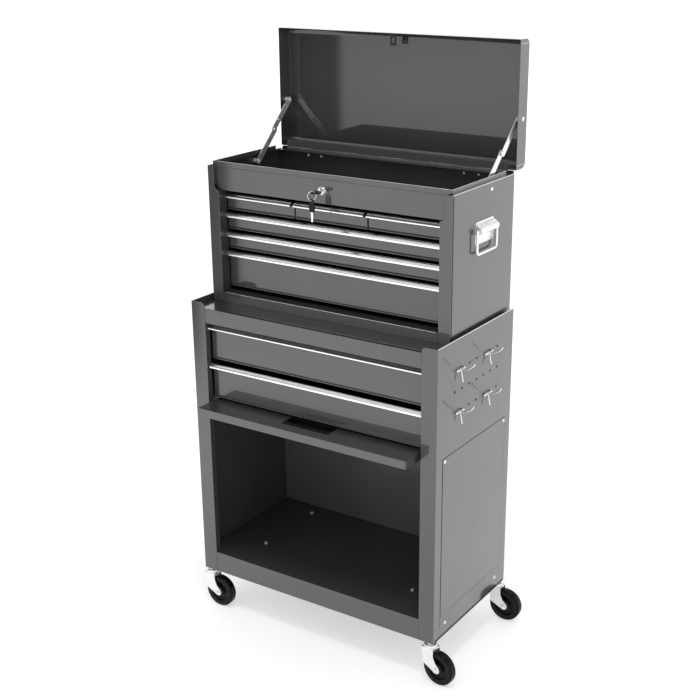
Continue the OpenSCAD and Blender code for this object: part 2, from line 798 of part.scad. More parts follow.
// Lid: a folded tray with a flange along its hinge edge, drawn standing open
module lid_shell() {
  flange_hw = stay_lower_x - 2.5;
  color("#4b4d4f") {
    difference() {
      along_x(-lid_hw, lid_hw) lid_outline(0);
      along_x(-lid_hw + sheet, lid_hw - sheet) lid_outline(sheet);
    }
    block(-flange_hw, flange_hw, lid_y0, lid_y0 + sheet, lid_z0, lid_z0 + lid_flange);
  }
}

// Strike plate with a slot for the lock, the clip beside it and the stays' studs
module lid_fittings() {
  y = lid_y0 + 14;
  x = lock_x + 2;
  z1 = lid_z1 - sheet;
  color("#8f9193") {
    difference() {
      block(x - 7, x + 7, y, y + 1.5, z1 - 26, z1);
      block(x - 3, x + 3, y - 1, y + 3, z1 - 20, z1 - 9);
    }
    block(x + 26, x + 34, y, y + 1.5, z1 - 14, z1);
    block(x + 26, x + 28, y - 5, y + 1.5, z1 - 14, z1);
    block(x + 32, x + 34, y - 5, y + 1.5, z1 - 14, z1);
    both_sides() stay_stud(stay_top, stay_upper_x - 1, stay_upper_x + stay_t + gap, lid_hw - sheet, lid_hw);
  }
}

// Half of a piano hinge: knuckles at every other place along the axis
module knuckles(first, r_in) {
  for (i = [first:2:hinge_places - 1])
    translate([-hinge_hw + i * hinge_span + hinge_cut, hinge_y, hinge_z]) rotate([0, 90, 0]) difference() {
      cylinder(r = knuckle_r, h = hinge_span - 2 * hinge_cut);
      translate([0, 0, -1]) cylinder(r = r_in, h = hinge_span + 2);
    }
}

// The straps that join those knuckles to their leaf, as blocks in Y and Z
module knuckle_straps(first, y0, y1, z0, z1) {
  for (i = [first:2:hinge_places - 1])
    block(-hinge_hw + i * hinge_span + hinge_cut, -hinge_hw + (i + 1) * hinge_span - hinge_cut, y0, y1, z0, z1);
}

// Lower leaf on the chest's rear flange, with the hinge pin
module hinge_leaf_chest() {
  leaf_z = chest_z1 - 0.2;
  color("silver") {
    block(-hinge_hw, hinge_hw, chest_y1 - lid_flange + 1, chest_y1, leaf_z - leaf_t, leaf_z);
    knuckle_straps(0, chest_y1 - eps, hinge_y - 1.8, leaf_z - leaf_t, leaf_z);
    knuckles(0, hinge_pin_r);
    rod([-hinge_hw, hinge_y, hinge_z], [hinge_hw, hinge_y, hinge_z], hinge_pin_r);
  }
}

// Upper leaf on the lid's flange, reaching down to just above the knuckles
module hinge_leaf_lid() {
  leaf_y = hinge_y + 0.1;
  leaf_z0 = hinge_z + knuckle_r + 0.1;
  color("silver") {
    block(-hinge_hw, hinge_hw, leaf_y, leaf_y + leaf_t, leaf_z0, lid_z0 + lid_flange - 1);
    knuckle_straps(1, leaf_y, leaf_y + leaf_t, hinge_z + 1.8, leaf_z0 + eps);
    knuckles(1, hinge_pin_r + fit);
  }
}

// Stud for a stay: a pin with a head inside, a shoulder to the wall and a head outside
module stay_stud(at, x_head, x_shoulder, x_wall, x_out) {
  translate([0, at[0], at[1]]) rotate([0, 90, 0]) {
    translate([0, 0, x_head - 1]) cylinder(r = 4.2, h = 1 - gap / 2);
    translate([0, 0, x_head - 1]) cylinder(r = stay_pin_r, h = x_shoulder - x_head + 1 + eps);
    translate([0, 0, x_shoulder]) cylinder(r = 5, h = x_wall - x_shoulder);
    translate([0, 0, x_out]) cylinder(r1 = 4, r2 = 2.8, h = 1.6);
  }
}

// A flat bar with round ends in the YZ plane, drawn from the pivot along +Y
module stay_bar(len, x, hole_a, hole_b) {
  translate([x, 0, 0]) rotate([90, 0, 90]) linear_extrude(stay_t) difference() {
    union() {
      translate([0, -stay_r]) square([len, 2 * stay_r]);
      circle(stay_r);
      translate([len, 0]) circle(stay_r);
    }
    circle(hole_a);
    translate([len, 0]) circle(hole_b);
  }
}

// Lower arms, hinged on studs in the chest's sides
module stay_lower() {
  color("silver") both_sides() translate([0, stay_low[0], stay_low[1]]) rotate([stay_dir, 0, 0]) {
    stay_bar(stay_elbow, stay_lower_x, stay_pin_r + fit, stay_pin_r);
    translate([stay_lower_x - 1.5, stay_elbow, 0]) rotate([0, 90, 0]) cylinder(r = 4.2, h = 1.5);
    translate([stay_lower_x, stay_elbow, 0]) rotate([0, 90, 0]) cylinder(r = stay_pin_r, h = stay_t + 0.9);
  }
}

// Upper arms, hinged on studs in the lid's skirt, each with a stop rivet
module stay_upper() {
  len = stay_len - stay_elbow;
  color("silver") both_sides() translate([0, stay_top[0], stay_top[1]]) rotate([stay_dir + 180, 0, 0]) {
    stay_bar(len, stay_upper_x, stay_pin_r + fit, stay_pin_r);
    translate([stay_upper_x - 1.2, len, 0]) rotate([0, 90, 0]) cylinder(r = stay_pin_r, h = stay_t + 1.2);
    translate([stay_upper_x + stay_t - eps, len, 0]) rotate([0, 90, 0]) cylinder(r = 4.2, h = 1);
    translate([stay_upper_x - 1.2, len - 28, 0]) rotate([0, 90, 0]) cylinder(r = 3.2, h = stay_t + 2.2);
  }
}

// ---- side handles ----

// Outline of the cover's bulge as [x, z]: a slope from the wall, tangent to a half round
module bulge_outline(inset) {
  r = cover_r - inset;
  x0 = chest_hw + inset;
  out = bail_x - chest_hw;
  up = ramp_z - bail_z;
  turn = atan2(up, -out) - acos(cover_r / norm([out, up]));
  tip = [bail_x + r * cos(turn), bail_z + r * sin(turn)];
  top_z = tip[1] + (tip[0] - x0) * cos(turn) / sin(turn);
  polygon([[x0, bail_z - r], [bail_x, bail_z - r], tip, [x0, top_z]]);
  translate([bail_x, bail_z]) circle(r);
}

// Pressed cover with a sloped bulge over the bail's pivots, and its four rivets
module handle_plate() {
  color("silver") difference() {
    union() {
      translate([chest_hw, 0, 0]) rotate([90, 0, 90]) linear_extrude(cover_t)
        polygon([[chest_yc - cover_hw + 2, cover_z0], [chest_yc + cover_hw - 2, cover_z0],
          [chest_yc + cover_hw, cover_z0 + 3], [chest_yc + cover_hw, cover_z1],
          [chest_yc - cover_hw + 4, cover_z1], [chest_yc - cover_hw, cover_z1 - 4],
          [chest_yc - cover_hw, cover_z0 + 3]]);
      along_y(chest_yc - cover_hw, chest_yc + cover_hw) difference() {
        bulge_outline(0);
        bulge_outline(cover_t);
      }
      for (y = [chest_yc - cover_hw, chest_yc + cover_hw - cover_t])
        along_y(y, y + cover_t) bulge_outline(eps);
      for (y = [chest_yc - 31, chest_yc + 31]) {
        side_rivet(chest_hw + cover_t, y, cover_z0 + 9, 3);
        translate([chest_hw + 5.5, y, ramp_z - 3.5]) sphere(2.2, $fn = 24);
      }
    }
    translate([bail_x, chest_yc + cover_hw + 1, bail_z]) rotate([90, 0, 0])
      cylinder(r = bail_r + fit, h = 2 * cover_hw + 2);
  }
}

module handle_plates() {
  both_sides() handle_plate();
}

// Wire bail hanging from the cover, its ends turned in as pivots
module bail() {
  straight = bail_drop - bail_bend;
  color("#c9cacb") translate([bail_x, chest_yc, bail_z]) {
    for (side = [-1, 1]) mirror([0, side > 0 ? 0 : 1, 0]) {
      rod([0, cover_hw - 9, 0], [0, bail_hw, 0], bail_r);
      translate([0, bail_hw, 0]) sphere(bail_r);
      rod([0, bail_hw, 0], [0, bail_hw, -straight], bail_r);
      translate([0, bail_hw - bail_bend, -straight]) rotate([0, 90, 0]) rotate_extrude(angle = 90)
        translate([bail_bend, 0]) circle(bail_r);
    }
    rod([0, -bail_hw + bail_bend, -bail_drop], [0, bail_hw - bail_bend, -bail_drop], bail_r);
  }
}

module bail_right() { bail(); }
module bail_left() { mirror([1, 0, 0]) bail(); }

// ---- lock and keys ----

// Fixed front ring and housing of the lock, round the turning plug
module lock_barrel() {
  color("#dcdddd") translate([lock_x, fascia_y, lock_z]) rotate([90, 0, 0]) difference() {
    union() {
      cylinder(r1 = lock_r, r2 = lock_r - 1.5, h = 4);
      translate([0, 0, -18]) cylinder(r = plug_r + 1.9, h = 19);
    }
    translate([0, 0, -19]) cylinder(r = plug_r + fit, h = 25);
  }
}

// Plug with the key in it: the key's black bow lies flat, with a round hole
module lock_key() {
  color("#191919") translate([lock_x, 0, lock_z]) {
    translate([0, fascia_y - 4.4, 0]) rotate([-90, 0, 0]) cylinder(r = plug_r, h = 20);
    block(-3.5, 3.5, key_y - 8, key_y + 4, -1, 1);
    translate([0, bow_y, -bow_t / 2]) linear_extrude(bow_t) difference() {
      union() {
        circle(bow_r);
        translate([-6, 0]) square([12, 13]);
      }
      rotate(-ring_turn) translate([0, -bow_r + bow_bridge + bow_hole_r]) circle(bow_hole_r);
    }
  }
}

// Ring through the bow's hole, with the spare key hanging on it, turned towards the ring's plane
module key_ring() {
  hole_r = 3.2;
  hole_z = -ring_r + ring_wire_r + 0.6 - hole_r;
  bow_len = 22;
  translate([ring_x, ring_y, ring_z]) rotate([0, 0, -ring_turn]) {
    color("silver") rotate([0, 90, 0]) rotate_extrude() translate([ring_r, 0])
      circle(ring_wire_r, $fn = 16);
    color("#191919") translate([0, 0, hole_z]) rotate([0, 0, spare_turn]) {
      translate([0, spare_t / 2, 0]) rotate([90, 0, 0]) linear_extrude(spare_t) difference() {
        union() {
          circle(5.8);
          translate([0, -9]) circle(7.4);
          translate([-5.5, -bow_len]) square([11, bow_len - 9]);
        }
        circle(hole_r);
      }
      translate([-2.6, -1, -bow_len - 20]) cube([5.2, 2, 21]);
    }
  }
}

// ---- the object ----

placed() cab_side_left();
placed() cab_side_right();
placed() cab_back();
placed() cab_floor();
placed() cab_tray();
placed() cab_rail_top();
placed() cab_side_panels();
placed() cab_door_tracks();
placed() cab_runners();
placed() caster_brackets();
placed() fasteners();
placed() hooks();
placed() caster_stems();
placed() fork_fl();
placed() fork_fr();
placed() fork_rl();
placed() fork_rr();
placed() wheel_fl();
placed() wheel_fr();
placed() wheel_rl();
placed() wheel_rr();
placed() door_rod();
placed() door_panel();
placed() door_pull();
placed() cab_drawer_1();
placed() cab_drawer_2();
placed() cab_pull_1();
placed() cab_pull_2();
placed() chest_side_left();
placed() chest_side_right();
placed() chest_back();
placed() chest_base();
placed() chest_fascia();
placed() chest_well();
placed() chest_shelf();
placed() chest_runners();
placed() drawer_1a();
placed() drawer_1b();
placed() drawer_1c();
placed() drawer_2();
placed() drawer_3();
placed() drawer_4();
placed() pull_1a();
placed() pull_1b();
placed() pull_1c();
placed() pull_2();
placed() pull_3();
placed() pull_4();
placed() lid_shell();
placed() lid_fittings();
placed() hinge_leaf_chest();
placed() hinge_leaf_lid();
placed() stay_lower();
placed() stay_upper();
placed() handle_plates();
placed() bail_left();
placed() bail_right();
placed() lock_barrel();
placed() lock_key();
placed() key_ring();
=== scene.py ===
"""Rolling tool chest: materials, detail pieces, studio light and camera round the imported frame."""
import json
import math

import bmesh
import bpy
from mathutils import Matrix, Vector


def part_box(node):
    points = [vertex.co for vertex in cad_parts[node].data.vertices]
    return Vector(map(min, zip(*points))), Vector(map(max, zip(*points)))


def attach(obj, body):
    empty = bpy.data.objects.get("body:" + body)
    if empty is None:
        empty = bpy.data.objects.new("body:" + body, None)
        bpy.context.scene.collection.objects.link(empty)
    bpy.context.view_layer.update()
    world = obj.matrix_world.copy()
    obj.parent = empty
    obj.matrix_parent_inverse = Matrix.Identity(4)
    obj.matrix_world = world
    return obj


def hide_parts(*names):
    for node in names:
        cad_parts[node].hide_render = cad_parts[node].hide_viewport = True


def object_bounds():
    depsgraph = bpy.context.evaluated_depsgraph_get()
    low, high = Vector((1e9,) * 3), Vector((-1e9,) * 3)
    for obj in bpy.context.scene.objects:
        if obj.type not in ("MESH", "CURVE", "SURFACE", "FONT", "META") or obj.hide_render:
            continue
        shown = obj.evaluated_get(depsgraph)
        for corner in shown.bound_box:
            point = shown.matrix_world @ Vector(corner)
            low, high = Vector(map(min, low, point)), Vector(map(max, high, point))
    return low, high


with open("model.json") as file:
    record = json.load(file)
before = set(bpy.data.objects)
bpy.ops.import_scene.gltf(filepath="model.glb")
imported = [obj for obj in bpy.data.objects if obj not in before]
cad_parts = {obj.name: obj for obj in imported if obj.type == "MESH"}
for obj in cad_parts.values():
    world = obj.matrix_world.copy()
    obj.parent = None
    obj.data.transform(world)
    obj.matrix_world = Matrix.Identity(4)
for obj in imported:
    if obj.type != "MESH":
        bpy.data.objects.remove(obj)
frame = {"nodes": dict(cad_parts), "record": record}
cad_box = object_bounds()
nodes = frame["nodes"]
joints = {joint["name"]: joint for joint in frame["record"]["behaviour"]["joints"]}
scene = bpy.context.scene

MM = 0.001


def node_box(name):
    """A node's low and high corners in metres."""
    low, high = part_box(name)
    return Vector(low), Vector(high)


# the corners that more than one section measures from
cab_left_low = Vector(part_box("cab_side_left")[0])
cab_right_low, cab_right_high = (Vector(corner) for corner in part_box("cab_side_right"))
chest_left_low = Vector(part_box("chest_side_left")[0])
chest_right_low, chest_right_high = (Vector(corner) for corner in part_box("chest_side_right"))


# ---- materials -----------------------------------------------------------------------------

def new_material(name):
    """A material, its Principled shader, and functions that add a node and link two nodes."""
    mat = bpy.data.materials.new(name)
    mat.use_nodes = True
    tree = mat.node_tree
    shader = tree.nodes["Principled BSDF"]

    def add(kind, **inputs):
        node = tree.nodes.new(kind)
        for key, value in inputs.items():
            if key in node.inputs:
                node.inputs[key].default_value = value
            else:
                setattr(node, key, value)
        return node

    def link(a, out, b, into):
        tree.links.new(a.outputs[out], b.inputs[into])

    return mat, shader, add, link


def set_shader(shader, **values):
    for key, value in values.items():
        shader.inputs[key.replace("_", " ")].default_value = value


def set_range(node, start, stop, low, high):
    """Makes a Map Range node take start..stop to low..high."""
    for key, value in (("From Min", start), ("From Max", stop), ("To Min", low), ("To Max", high)):
        node.inputs[key].default_value = value


NOISE_SPAN = (0.3, 0.7)  # where most of a noise's values lie
COLOUR_STOPS = (0.35, 0.68)
RELIEF_DEPTH = 0.6 * MM


def noise_range(add, link, coords, scale, low, high, detail):
    """Noise over object space, mapped to low..high."""
    noise = add("ShaderNodeTexNoise", Scale=scale, Detail=detail)
    link(coords, "Object", noise, "Vector")
    spread = add("ShaderNodeMapRange")
    set_range(spread, *NOISE_SPAN, low, high)
    link(noise, "Fac", spread, "Value")
    return spread


def blend_colours(add, link, coords, dark, light, scale, detail=4.0):
    """Two near colours mixed by noise over object space."""
    noise = add("ShaderNodeTexNoise", Scale=scale, Detail=detail)
    link(coords, "Object", noise, "Vector")
    ramp = add("ShaderNodeValToRGB")
    for i, colour in enumerate((dark, light)):
        ramp.color_ramp.elements[i].position = COLOUR_STOPS[i]
        ramp.color_ramp.elements[i].color = (*colour, 1)
    link(noise, "Fac", ramp, "Fac")
    return ramp


def bump(add, link, coords, shader, scale, strength, detail=2.0, stretch=None):
    """Fine relief from noise, stretched along an axis where the metal was drawn or brushed."""
    noise = add("ShaderNodeTexNoise", Scale=scale, Detail=detail)
    if stretch:
        mapping = add("ShaderNodeMapping", Scale=stretch)
        link(coords, "Object", mapping, "Vector")
        link(mapping, "Vector", noise, "Vector")
    else:
        link(coords, "Object", noise, "Vector")
    relief = add("ShaderNodeBump", Strength=strength, Distance=RELIEF_DEPTH)
    link(noise, "Fac", relief, "Height")
    link(relief, "Normal", shader, "Normal")


COOL = (1.0, 1.004, 1.01)  # a trace of blue in every grey


def grey(value):
    return tuple(value * part for part in COOL)


GREY = 0.046
SHADE_TONE = 0.016
INSIDE_COAT = 0.12  # share of the clear coat that is left inside the boxes
COAT_IOR = 1.62
PEEL_SCALE = 900.0
PEEL_STRENGTH = 0.03
MIX_A, MIX_B, MIX_RESULT = 6, 7, 2  # colour sockets of the Mix node


def inside_box(add, link, coords, low, high):
    """A node that gives 1 inside a box in object space and 0 outside."""
    split = add("ShaderNodeSeparateXYZ")
    link(coords, "Object", split, "Vector")
    total = None
    for axis, a, b in zip("XYZ", low, high):
        middle = add("ShaderNodeMath", operation="SUBTRACT")
        middle.inputs[1].default_value = (a + b) / 2
        link(split, axis, middle, 0)
        apart = add("ShaderNodeMath", operation="ABSOLUTE")
        link(middle, 0, apart, 0)
        test = add("ShaderNodeMath", operation="LESS_THAN")
        test.inputs[1].default_value = (b - a) / 2
        link(apart, 0, test, 0)
        if total is None:
            total = test
            continue
        both = add("ShaderNodeMath", operation="MULTIPLY")
        link(total, 0, both, 0)
        link(test, 0, both, 1)
        total = both
    return total


def paint(name, tone, rough, coat, inner=None, inside=None):
    """Powder coat with a fine orange peel. inside is a box in metres that is painted in the inner tone."""
    mat, shader, add, link = new_material(name)
    coords = add("ShaderNodeTexCoord")
    colour = blend_colours(add, link, coords, grey(tone * 0.94), grey(tone * 1.06), 5.0)
    if inside:
        within = inside_box(add, link, coords, *inside)
        dark = blend_colours(add, link, coords, grey(inner * 0.9), grey(inner * 1.1), 5.0)
        dull = add("ShaderNodeMapRange")
        dull.inputs["To Min"].default_value = coat
        dull.inputs["To Max"].default_value = coat * INSIDE_COAT
        link(within, 0, dull, "Value")
        link(dull, "Result", shader, "Coat Weight")
        mix = add("ShaderNodeMix", data_type="RGBA")
        link(within, 0, mix, 0)
        link(colour, "Color", mix, MIX_A)
        link(dark, "Color", mix, MIX_B)
        link(mix, MIX_RESULT, shader, "Base Color")
    smear = noise_range(add, link, coords, 9.0, rough - 0.03, rough + 0.05, 5.0)
    link(smear, "Result", shader, "Roughness")
    bump(add, link, coords, shader, PEEL_SCALE, PEEL_STRENGTH)
    if not inside:
        link(colour, "Color", shader, "Base Color")
        set_shader(shader, Coat_Weight=coat)
    set_shader(shader, Coat_Roughness=0.03, Coat_IOR=COAT_IOR, Specular_IOR_Level=0.3)
    return mat


def metal(name, tone, rough, grain=None, scale=1200.0, strength=0.05):
    """Bare or plated metal; grain is the stretch of its brushing."""
    mat, shader, add, link = new_material(name)
    coords = add("ShaderNodeTexCoord")
    colour = blend_colours(add, link, coords, grey(tone * 0.9), grey(tone), 40.0)
    link(colour, "Color", shader, "Base Color")
    smear = noise_range(add, link, coords, 60.0, rough * 0.8, rough * 1.3, 4.0)
    link(smear, "Result", shader, "Roughness")
    bump(add, link, coords, shader, scale, strength, 3.0, grain)
    set_shader(shader, Metallic=1.0)
    return mat


def plastic(name, tone, rough, scale=1500.0, strength=0.12):
    """Moulded plastic or solid rubber with a fine grain."""
    mat, shader, add, link = new_material(name)
    coords = add("ShaderNodeTexCoord")
    colour = blend_colours(add, link, coords, grey(tone * 0.8), grey(tone * 1.2), 25.0)
    link(colour, "Color", shader, "Base Color")
    smear = noise_range(add, link, coords, 30.0, rough - 0.05, rough + 0.08, 4.0)
    link(smear, "Result", shader, "Roughness")
    bump(add, link, coords, shader, scale, strength, 3.0)
    set_shader(shader, Specular_IOR_Level=0.16)
    return mat


def retouch(mat, **values):
    """Sets plain values on a finished material's shader."""
    set_shader(mat.node_tree.nodes["Principled BSDF"], **values)


SKIN = 1.0 * MM
BELOW = 10 * MM
# inside these boxes the cabinet and chest paint turn to a darker inner tone: painted shade inside the boxes
cab_inside = (
    (cab_left_low.x + SKIN, cab_left_low.y + 2 * SKIN, cab_left_low.z - BELOW),
    (cab_right_high.x - SKIN, cab_right_high.y - SKIN, cab_right_high.z - 20 * MM),
)
chest_inside = (
    (chest_left_low.x + SKIN, chest_left_low.y + 2 * SKIN, chest_left_low.z - BELOW),
    (chest_right_high.x - SKIN, chest_right_high.y - SKIN, chest_right_high.z - 12 * MM),
)
# the clip in the middle of the lid is black; the fittings at its sides are bright
LID_MIDDLE = ((-0.2, 0.0, 1.0), (0.2, 0.3, 1.4))

paint_grey = paint("paint_grey", GREY, 0.32, 1.0)
paint_cab = paint("paint_cabinet", GREY, 0.32, 1.0, 0.045, cab_inside)
# the back wall's inner tone is lighter than that of the cabinet's other inner faces: painted light on the
# inside of the back wall
paint_back_painted_light = paint("paint_cabinet_back_painted_light", GREY, 0.32, 1.0, 0.068, cab_inside)
paint_chest = paint("paint_chest", GREY, 0.32, 1.0, 0.03, chest_inside)
paint_lid = paint("paint_lid", GREY * 0.62, 0.32, 0.9)
# bright metal under a clear coat for the thin beads on the sheet edges: a painted highlight
highlight_rim_metal = metal("painted_highlight_rim", 0.85, 0.14)
retouch(highlight_rim_metal, Coat_Weight=1.0, Coat_Roughness=0.05)
# the body's paint in a darker tone for the tray, the well, the shelf and the chest's hinge leaf: painted
# shade
paint_in_shade = paint("paint_in_shade", SHADE_TONE, 0.3, 1.0)
paint_lid_fittings = paint("paint_lid_fittings", 0.7, 0.35, 0.8, 0.01, LID_MIDDLE)
paint_fittings = paint("paint_fittings", GREY * 1.2, 0.35, 0.6)
zinc = metal("zinc_plate", 0.88, 0.22, None, 500.0, 0.02)
retouch(zinc, Metallic=0.82)
bright = metal("bright_screw_head", 0.92, 0.3, None, 500.0, 0.02)
retouch(bright, Metallic=0.45)
aluminium = metal("satin_aluminium", 0.94, 0.12, (0.02, 1.0, 1.0), 120.0, 0.001)
chrome = metal("chrome_plate", 0.88, 0.06, None, 900.0, 0.01)
black = plastic("black_plastic", 0.006, 0.3)
tread = plastic("black_wheel", 0.0015, 0.2, 700.0, 0.03)
# a lighter, more specular black for thin rings on the wheels' moulded ridges: a painted highlight
ridge_highlight = plastic("black_wheel_painted_highlight", 0.03, 0.25, 700.0, 0.03)
retouch(ridge_highlight, Specular_IOR_Level=0.6)
liner_mat = plastic("black_foam_liner", 0.012, 0.8, 700.0, 0.5)

LOOKS = {
    "cab_side_left": paint_cab, "cab_side_right": paint_cab, "cab_back": paint_back_painted_light,
    "cab_floor": paint_cab, "cab_tray": paint_in_shade, "cab_rail_top": paint_cab,
    "chest_side_left": paint_chest, "chest_side_right": paint_chest, "chest_back": paint_chest,
    "chest_base": paint_chest, "chest_well": paint_in_shade, "chest_shelf": paint_in_shade,
    "lid_shell": paint_lid, "hinge_leaf_chest": paint_in_shade, "hinge_leaf_lid": paint_fittings,
    "lid_fittings": paint_lid_fittings,
    "fasteners": bright,
    "lock_barrel": chrome, "lock_key": black, "key_ring": chrome, "door_pull": black,
}
ZINC_WORDS = ("track", "runners", "hooks", "stems", "fork", "rod", "stay_", "handle", "bail")


def look_of(name):
    if name in LOOKS:
        return LOOKS[name]
    if "pull" in name:
        return aluminium
    if name.startswith("wheel"):
        return tread
    if any(word in name for word in ZINC_WORDS):
        return zinc
    return paint_grey


WELD_GAP = 0.02 * MM
EDGE_ROUND = 0.45 * MM


def finish_node(obj, mat, width):
    """Gives a CAD node its material, welds its faces and rounds its edges a little."""
    obj.data.materials.clear()
    obj.data.materials.append(mat)
    weld = obj.modifiers.new("weld", "WELD")
    weld.merge_threshold = WELD_GAP
    if width:
        edge = obj.modifiers.new("edge", "BEVEL")
        edge.width = width
        edge.segments = 2
        edge.limit_method = "ANGLE"
        edge.angle_limit = math.radians(40)
        edge.harden_normals = False
        edge.use_clamp_overlap = False


SOFT_EDGES = ("cab_side", "cab_rail", "cab_floor", "chest_side", "chest_base", "chest_fascia",
              "door_panel", "drawer", "pull", "lid_shell", "fork")
for name, node in nodes.items():
    soft = any(word in name for word in SOFT_EDGES)
    finish_node(node, look_of(name), EDGE_ROUND if soft else 0)


# ---- mesh helpers --------------------------------------------------------------------------

def piece(name, bm, mat, body, angle=35.0):
    """Turns a bmesh into a smooth-shaded piece that rides on a CAD body."""
    bmesh.ops.recalc_face_normals(bm, faces=bm.faces)
    mesh = bpy.data.meshes.new(name)
    bm.to_mesh(mesh)
    bm.free()
    for face in mesh.polygons:
        face.use_smooth = True
    mesh.set_sharp_from_angle(angle=math.radians(angle))
    mesh.materials.append(mat)
    obj = bpy.data.objects.new(name, mesh)
    scene.collection.objects.link(obj)
    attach(obj, body)
    return obj


def frame_at(place, axis):
    """Matrix whose Z runs along axis and whose X is as near to upright as it can be."""
    z = Vector(axis).normalized()
    up = Vector((0, 0, 1))
    x = up - z * up.dot(z)
    if x.length < 0.01:
        x = Vector((1, 0, 0)) - z * z.x
    x.normalize()
    y = z.cross(x)
    return Matrix.Translation(place) @ Matrix((x, y, z)).transposed().to_4x4()


def across(x):
    """Matrix that stands a (Y, Z) outline square to X, starting at x."""
    return Matrix(((0, 0, 1, x), (1, 0, 0, 0), (0, 1, 0, 0), (0, 0, 0, 1)))


def upward(z):
    """Matrix that lays a (Y, X) outline level, starting at z."""
    return Matrix(((0, 1, 0, 0), (1, 0, 0, 0), (0, 0, 1, z), (0, 0, 0, 1)))


def skin(bm, rings, loop=False):
    """Quads between closed rings of vertices."""
    count = len(rings)
    for i in range(count if loop else count - 1):
        a, b = rings[i], rings[(i + 1) % count]
        n = len(a)
        for k in range(n):
            bm.faces.new((a[k], a[(k + 1) % n], b[(k + 1) % n], b[k]))


def lathe(bm, profile, place, axis, segments=48):
    """Turns (radius, height) points round an axis. A first or last radius of 0 closes that end."""
    matrix = frame_at(place, axis)
    rings = []
    for radius, height in profile:
        if radius == 0:
            rings.append([bm.verts.new(matrix @ Vector((0, 0, height)))])
            continue
        ring = []
        for i in range(segments):
            angle = math.tau * i / segments
            spot = Vector((radius * math.cos(angle), radius * math.sin(angle), height))
            ring.append(bm.verts.new(matrix @ spot))
        rings.append(ring)
    for a, b in zip(rings, rings[1:]):
        if len(a) == 1 or len(b) == 1:
            tip, ring = (a[0], b) if len(a) == 1 else (b[0], a)
            for k in range(segments):
                bm.faces.new((tip, ring[k], ring[(k + 1) % segments]))
        else:
            skin(bm, [a, b])


def lathe_loop(bm, profile, place, axis, segments=64):
    """Turns a closed outline of (radius, height) points round an axis."""
    matrix = frame_at(place, axis)
    rings = []
    for i in range(segments):
        angle = math.tau * i / segments
        c, s = math.cos(angle), math.sin(angle)
        rings.append([bm.verts.new(matrix @ Vector((r * c, r * s, h))) for r, h in profile])
    skin(bm, rings, loop=True)


def arc(cx, cy, radius, start, stop, steps):
    """Points along an arc, angles in degrees."""
    points = []
    for i in range(steps + 1):
        angle = math.radians(start + (stop - start) * i / steps)
        points.append((cx + radius * math.cos(angle), cy + radius * math.sin(angle)))
    return points


def full_circle(cx, cy, radius, steps):
    """Points once round a circle."""
    return arc(cx, cy, radius, 0, 360, steps)[:-1]


def inset_outline(outline, distance):
    """The outline with each of its corners moved inwards."""
    inner = []
    n = len(outline)
    for i in range(n):
        before, here, after = (Vector(outline[(i + k) % n]) for k in (-1, 0, 1))
        one = (here - before).normalized()
        two = (after - here).normalized()
        inward = Vector((-(one.y + two.y), one.x + two.x))
        inward.normalize()
        inner.append(tuple(here + inward * distance))
    return inner


def prism(bm, outline, matrix, depth, bevel=0.0):
    """Draws a flat outline out along its Z, both faces closed, its rims chamfered where bevel is given."""
    if bevel:
        inner = inset_outline(outline, bevel)
        layers = [(inner, 0.0), (outline, bevel), (outline, depth - bevel), (inner, depth)]
    else:
        layers = [(outline, 0.0), (outline, depth)]
    rings = [[bm.verts.new(matrix @ Vector((x, y, z))) for x, y in points] for points, z in layers]
    skin(bm, rings)
    bm.faces.new(rings[0])
    bm.faces.new(rings[-1])


def tube(bm, path, radius, segments=14):
    """A round bar along a path of points, with blunt pointed ends."""
    points = [Vector(p) for p in path]
    last = len(points) - 1
    rings = []
    side = None
    for i, here in enumerate(points):
        along = points[min(i + 1, last)] - points[max(i - 1, 0)]
        along.normalize()
        if side is None:
            side = along.orthogonal().normalized()
        side = (side - along * side.dot(along)).normalized()
        other = along.cross(side)
        rings.append([bm.verts.new(here + (side * math.cos(math.tau * k / segments)
                                           + other * math.sin(math.tau * k / segments)) * radius)
                      for k in range(segments)])
    skin(bm, rings)
    for ring, tip, way in ((rings[0], points[0], points[0] - points[1]),
                           (rings[-1], points[-1], points[-1] - points[-2])):
        cap = bm.verts.new(tip + way.normalized() * radius * 0.6)
        for k in range(segments):
            bm.faces.new((cap, ring[k], ring[(k + 1) % segments]))


def dome(bm, place, axis, radius, height, segments=20):
    """A rivet head, sunk a little into the sheet."""
    sunk = -0.2 * MM
    shoulder = 0.25
    profile = [(0.0, sunk), (radius, sunk), (radius, height * shoulder)]
    for degrees in (20, 40, 60, 78):
        t = math.radians(degrees)
        profile.append((radius * math.cos(t), height * (shoulder + (1 - shoulder) * math.sin(t))))
    profile.append((0.0, height))
    lathe(bm, profile, place, axis, segments)


def hex_head(bm, place, axis, radius, height):
    """A hexagonal bolt head or nut with chamfered corners and a washer face."""
    sunk = -0.1 * MM
    washer_r, washer_t = radius * 1.15, 0.7 * MM
    lathe(bm, [(0.0, sunk), (washer_r, sunk), (washer_r, washer_t), (radius, washer_t),
               (radius, height * 0.82), (radius * 0.86, height), (0.0, height)], place, axis, 6)


# ---- detail pieces -------------------------------------------------------------------------

# Pull strips: smooth aluminium with an upright lip, and above it a slope that runs out level

PULLS = {
    "cab_pull_1": "cab_drawer_1", "cab_pull_2": "cab_drawer_2",
    "pull_1a": "drawer_1a", "pull_1b": "drawer_1b", "pull_1c": "drawer_1c",
    "pull_2": "drawer_2", "pull_3": "drawer_3", "pull_4": "drawer_4",
}
WALL = 1.4 * MM
LEVEL_BACK = 2 * MM
ROUNDING = 0.3 * MM
SLOPE_POWER = 1.2
SLOPE_STEPS = 24
HOLLOW_STEPS = 8
# height of the lip and how far back the slope goes before it is level, as a share of the depth:
# first for the strips under an overhanging rail, then for the others
UNDER_RAIL = (2.8 * MM, 0.74)
IN_THE_OPEN = (4.2 * MM, 0.5)


